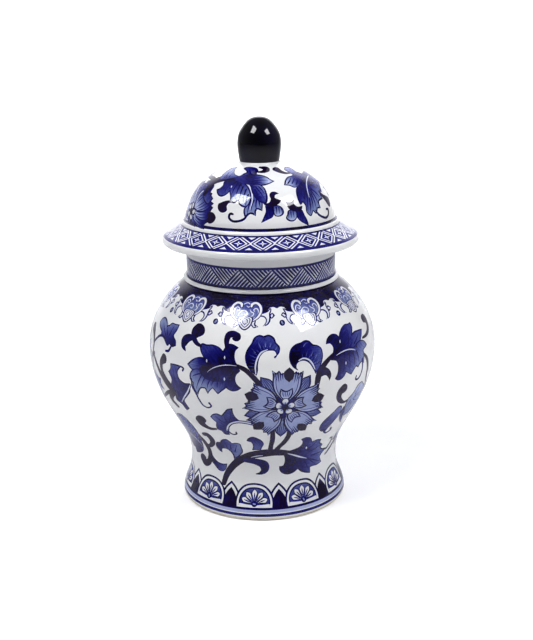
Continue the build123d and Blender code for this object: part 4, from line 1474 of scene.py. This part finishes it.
# ---------------------------------------------------------------- floor, light and camera
def stage_sheet():
    """A pale floor that curves up into a backdrop, with a painted glow that only the camera sees."""
    profile = [(-2.2, 0.0), (1.2, 0.0)]
    profile += [(1.2 + 0.8 * sin(a), 0.8 - 0.8 * cos(a)) for a in np.linspace(0, pi / 2, 17)[1:]]
    profile += [(2.0, 3.0)]
    spots = [(x, y, z) for y, z in profile for x in (-3.0, 3.0)]
    faces = [(2 * i, 2 * i + 1, 2 * i + 3, 2 * i + 2) for i in range(len(profile) - 1)]
    mesh = bpy.data.meshes.new("floor_sheet")
    mesh.from_pydata(spots, [], faces)
    mesh.polygons.foreach_set("use_smooth", [True] * len(faces))
    n = Nodes("floor_paper")
    colour = n.mix(n.noise(3, 3), srgb(236, 236, 238), srgb(244, 244, 245))
    rough = n.roughness(12, 0.7, 0.1)
    # Painted light: the floor glows for camera rays only, which lightens its shadows and shading in the
    # picture.
    seen = n.tree.nodes.new("ShaderNodeLightPath").outputs["Is Camera Ray"]
    n.shader.inputs["Emission Color"].default_value = white
    painted_floor_glow = 0.17
    n.put(n.math("MULTIPLY", seen, painted_floor_glow), n.shader.inputs["Emission Strength"])
    mesh.materials.append(n.finish(colour, rough, n.noise(900, 2), 0.00005))
    thing = bpy.data.objects.new("floor_sheet", mesh)
    bpy.context.scene.collection.objects.link(thing)


def softbox(name, place, aim, width, height, power):
    """A rectangular lamp, with its sizes in m and its power in W."""
    light = bpy.data.lights.new(name, "AREA")
    light.shape = "RECTANGLE"
    light.size, light.size_y, light.energy = width, height, power
    thing = bpy.data.objects.new(name, light)
    thing.location = place
    thing.rotation_euler = (Vector(aim) - Vector(place)).to_track_quat("-Z", "Y").to_euler()
    bpy.context.scene.collection.objects.link(thing)


def tent():
    """An even white surround, dimmer towards the camera."""
    world = bpy.data.worlds.new("tent")
    bpy.context.scene.world = world
    world.use_nodes = True
    tree = world.node_tree
    place = tree.nodes.new("ShaderNodeTexCoord")
    split = tree.nodes.new("ShaderNodeSeparateXYZ")
    tree.links.new(place.outputs["Generated"], split.inputs[0])
    ramp = tree.nodes.new("ShaderNodeValToRGB")
    stops = ramp.color_ramp.elements
    stops[0].position, stops[0].color = 0.0, (0.16, 0.16, 0.17, 1)
    stops[1].position, stops[1].color = 1.0, (0.95, 0.97, 1.0, 1)
    shift = tree.nodes.new("ShaderNodeMath")
    shift.operation = "MULTIPLY_ADD"
    steepness, level_at_side = 0.6, 0.6
    shift.inputs[1].default_value, shift.inputs[2].default_value = steepness, level_at_side
    tree.links.new(split.outputs["Y"], shift.inputs[0])
    tree.links.new(shift.outputs[0], ramp.inputs[0])
    tree.links.new(ramp.outputs[0], tree.nodes["Background"].inputs["Color"])
    tree.nodes["Background"].inputs["Strength"].default_value = 0.54


stage_sheet()
tent()
middle = Vector((0.0, 0.0, 0.14))
lamp_distance = 1.15
for name, toward, size, power in (
    ("softbox_left", (-0.41, -0.37, 0.83), 0.42, 7.2), ("softbox_right", (0.59, -0.35, 0.73), 0.38, 5.9),
):
    softbox(name, middle + Vector(toward) * lamp_distance, middle, size, size, power)
softbox("backdrop_light", (0.0, 1.1, 1.5), (0.0, 2.2, 1.2), 2.4, 0.8, 42)

camera_data = bpy.data.cameras.new("camera")
camera = bpy.data.objects.new("camera", camera_data)
bpy.context.scene.collection.objects.link(camera)
camera_place = Matrix.Translation((0, -0.6582, 0.3077))
pitch, roll = radians(-15.93), radians(-0.85)
ahead = Vector((0, cos(pitch), sin(pitch)))
level = Vector((1, 0, 0))
upright = level.cross(ahead)
right = level * cos(roll) + upright * sin(roll)
up = upright * cos(roll) - level * sin(roll)
camera.matrix_world = camera_place @ Matrix((right, up, -ahead)).transposed().to_4x4()
camera_data.lens = 57.59
camera_data.sensor_width = 36
camera_data.shift_x = 0.0073
camera_data.clip_start = 0.05
bpy.context.scene.camera = camera
view = bpy.context.scene.view_settings
view.view_transform = "Standard"
view.exposure = 0.2
view.gamma = 0.76
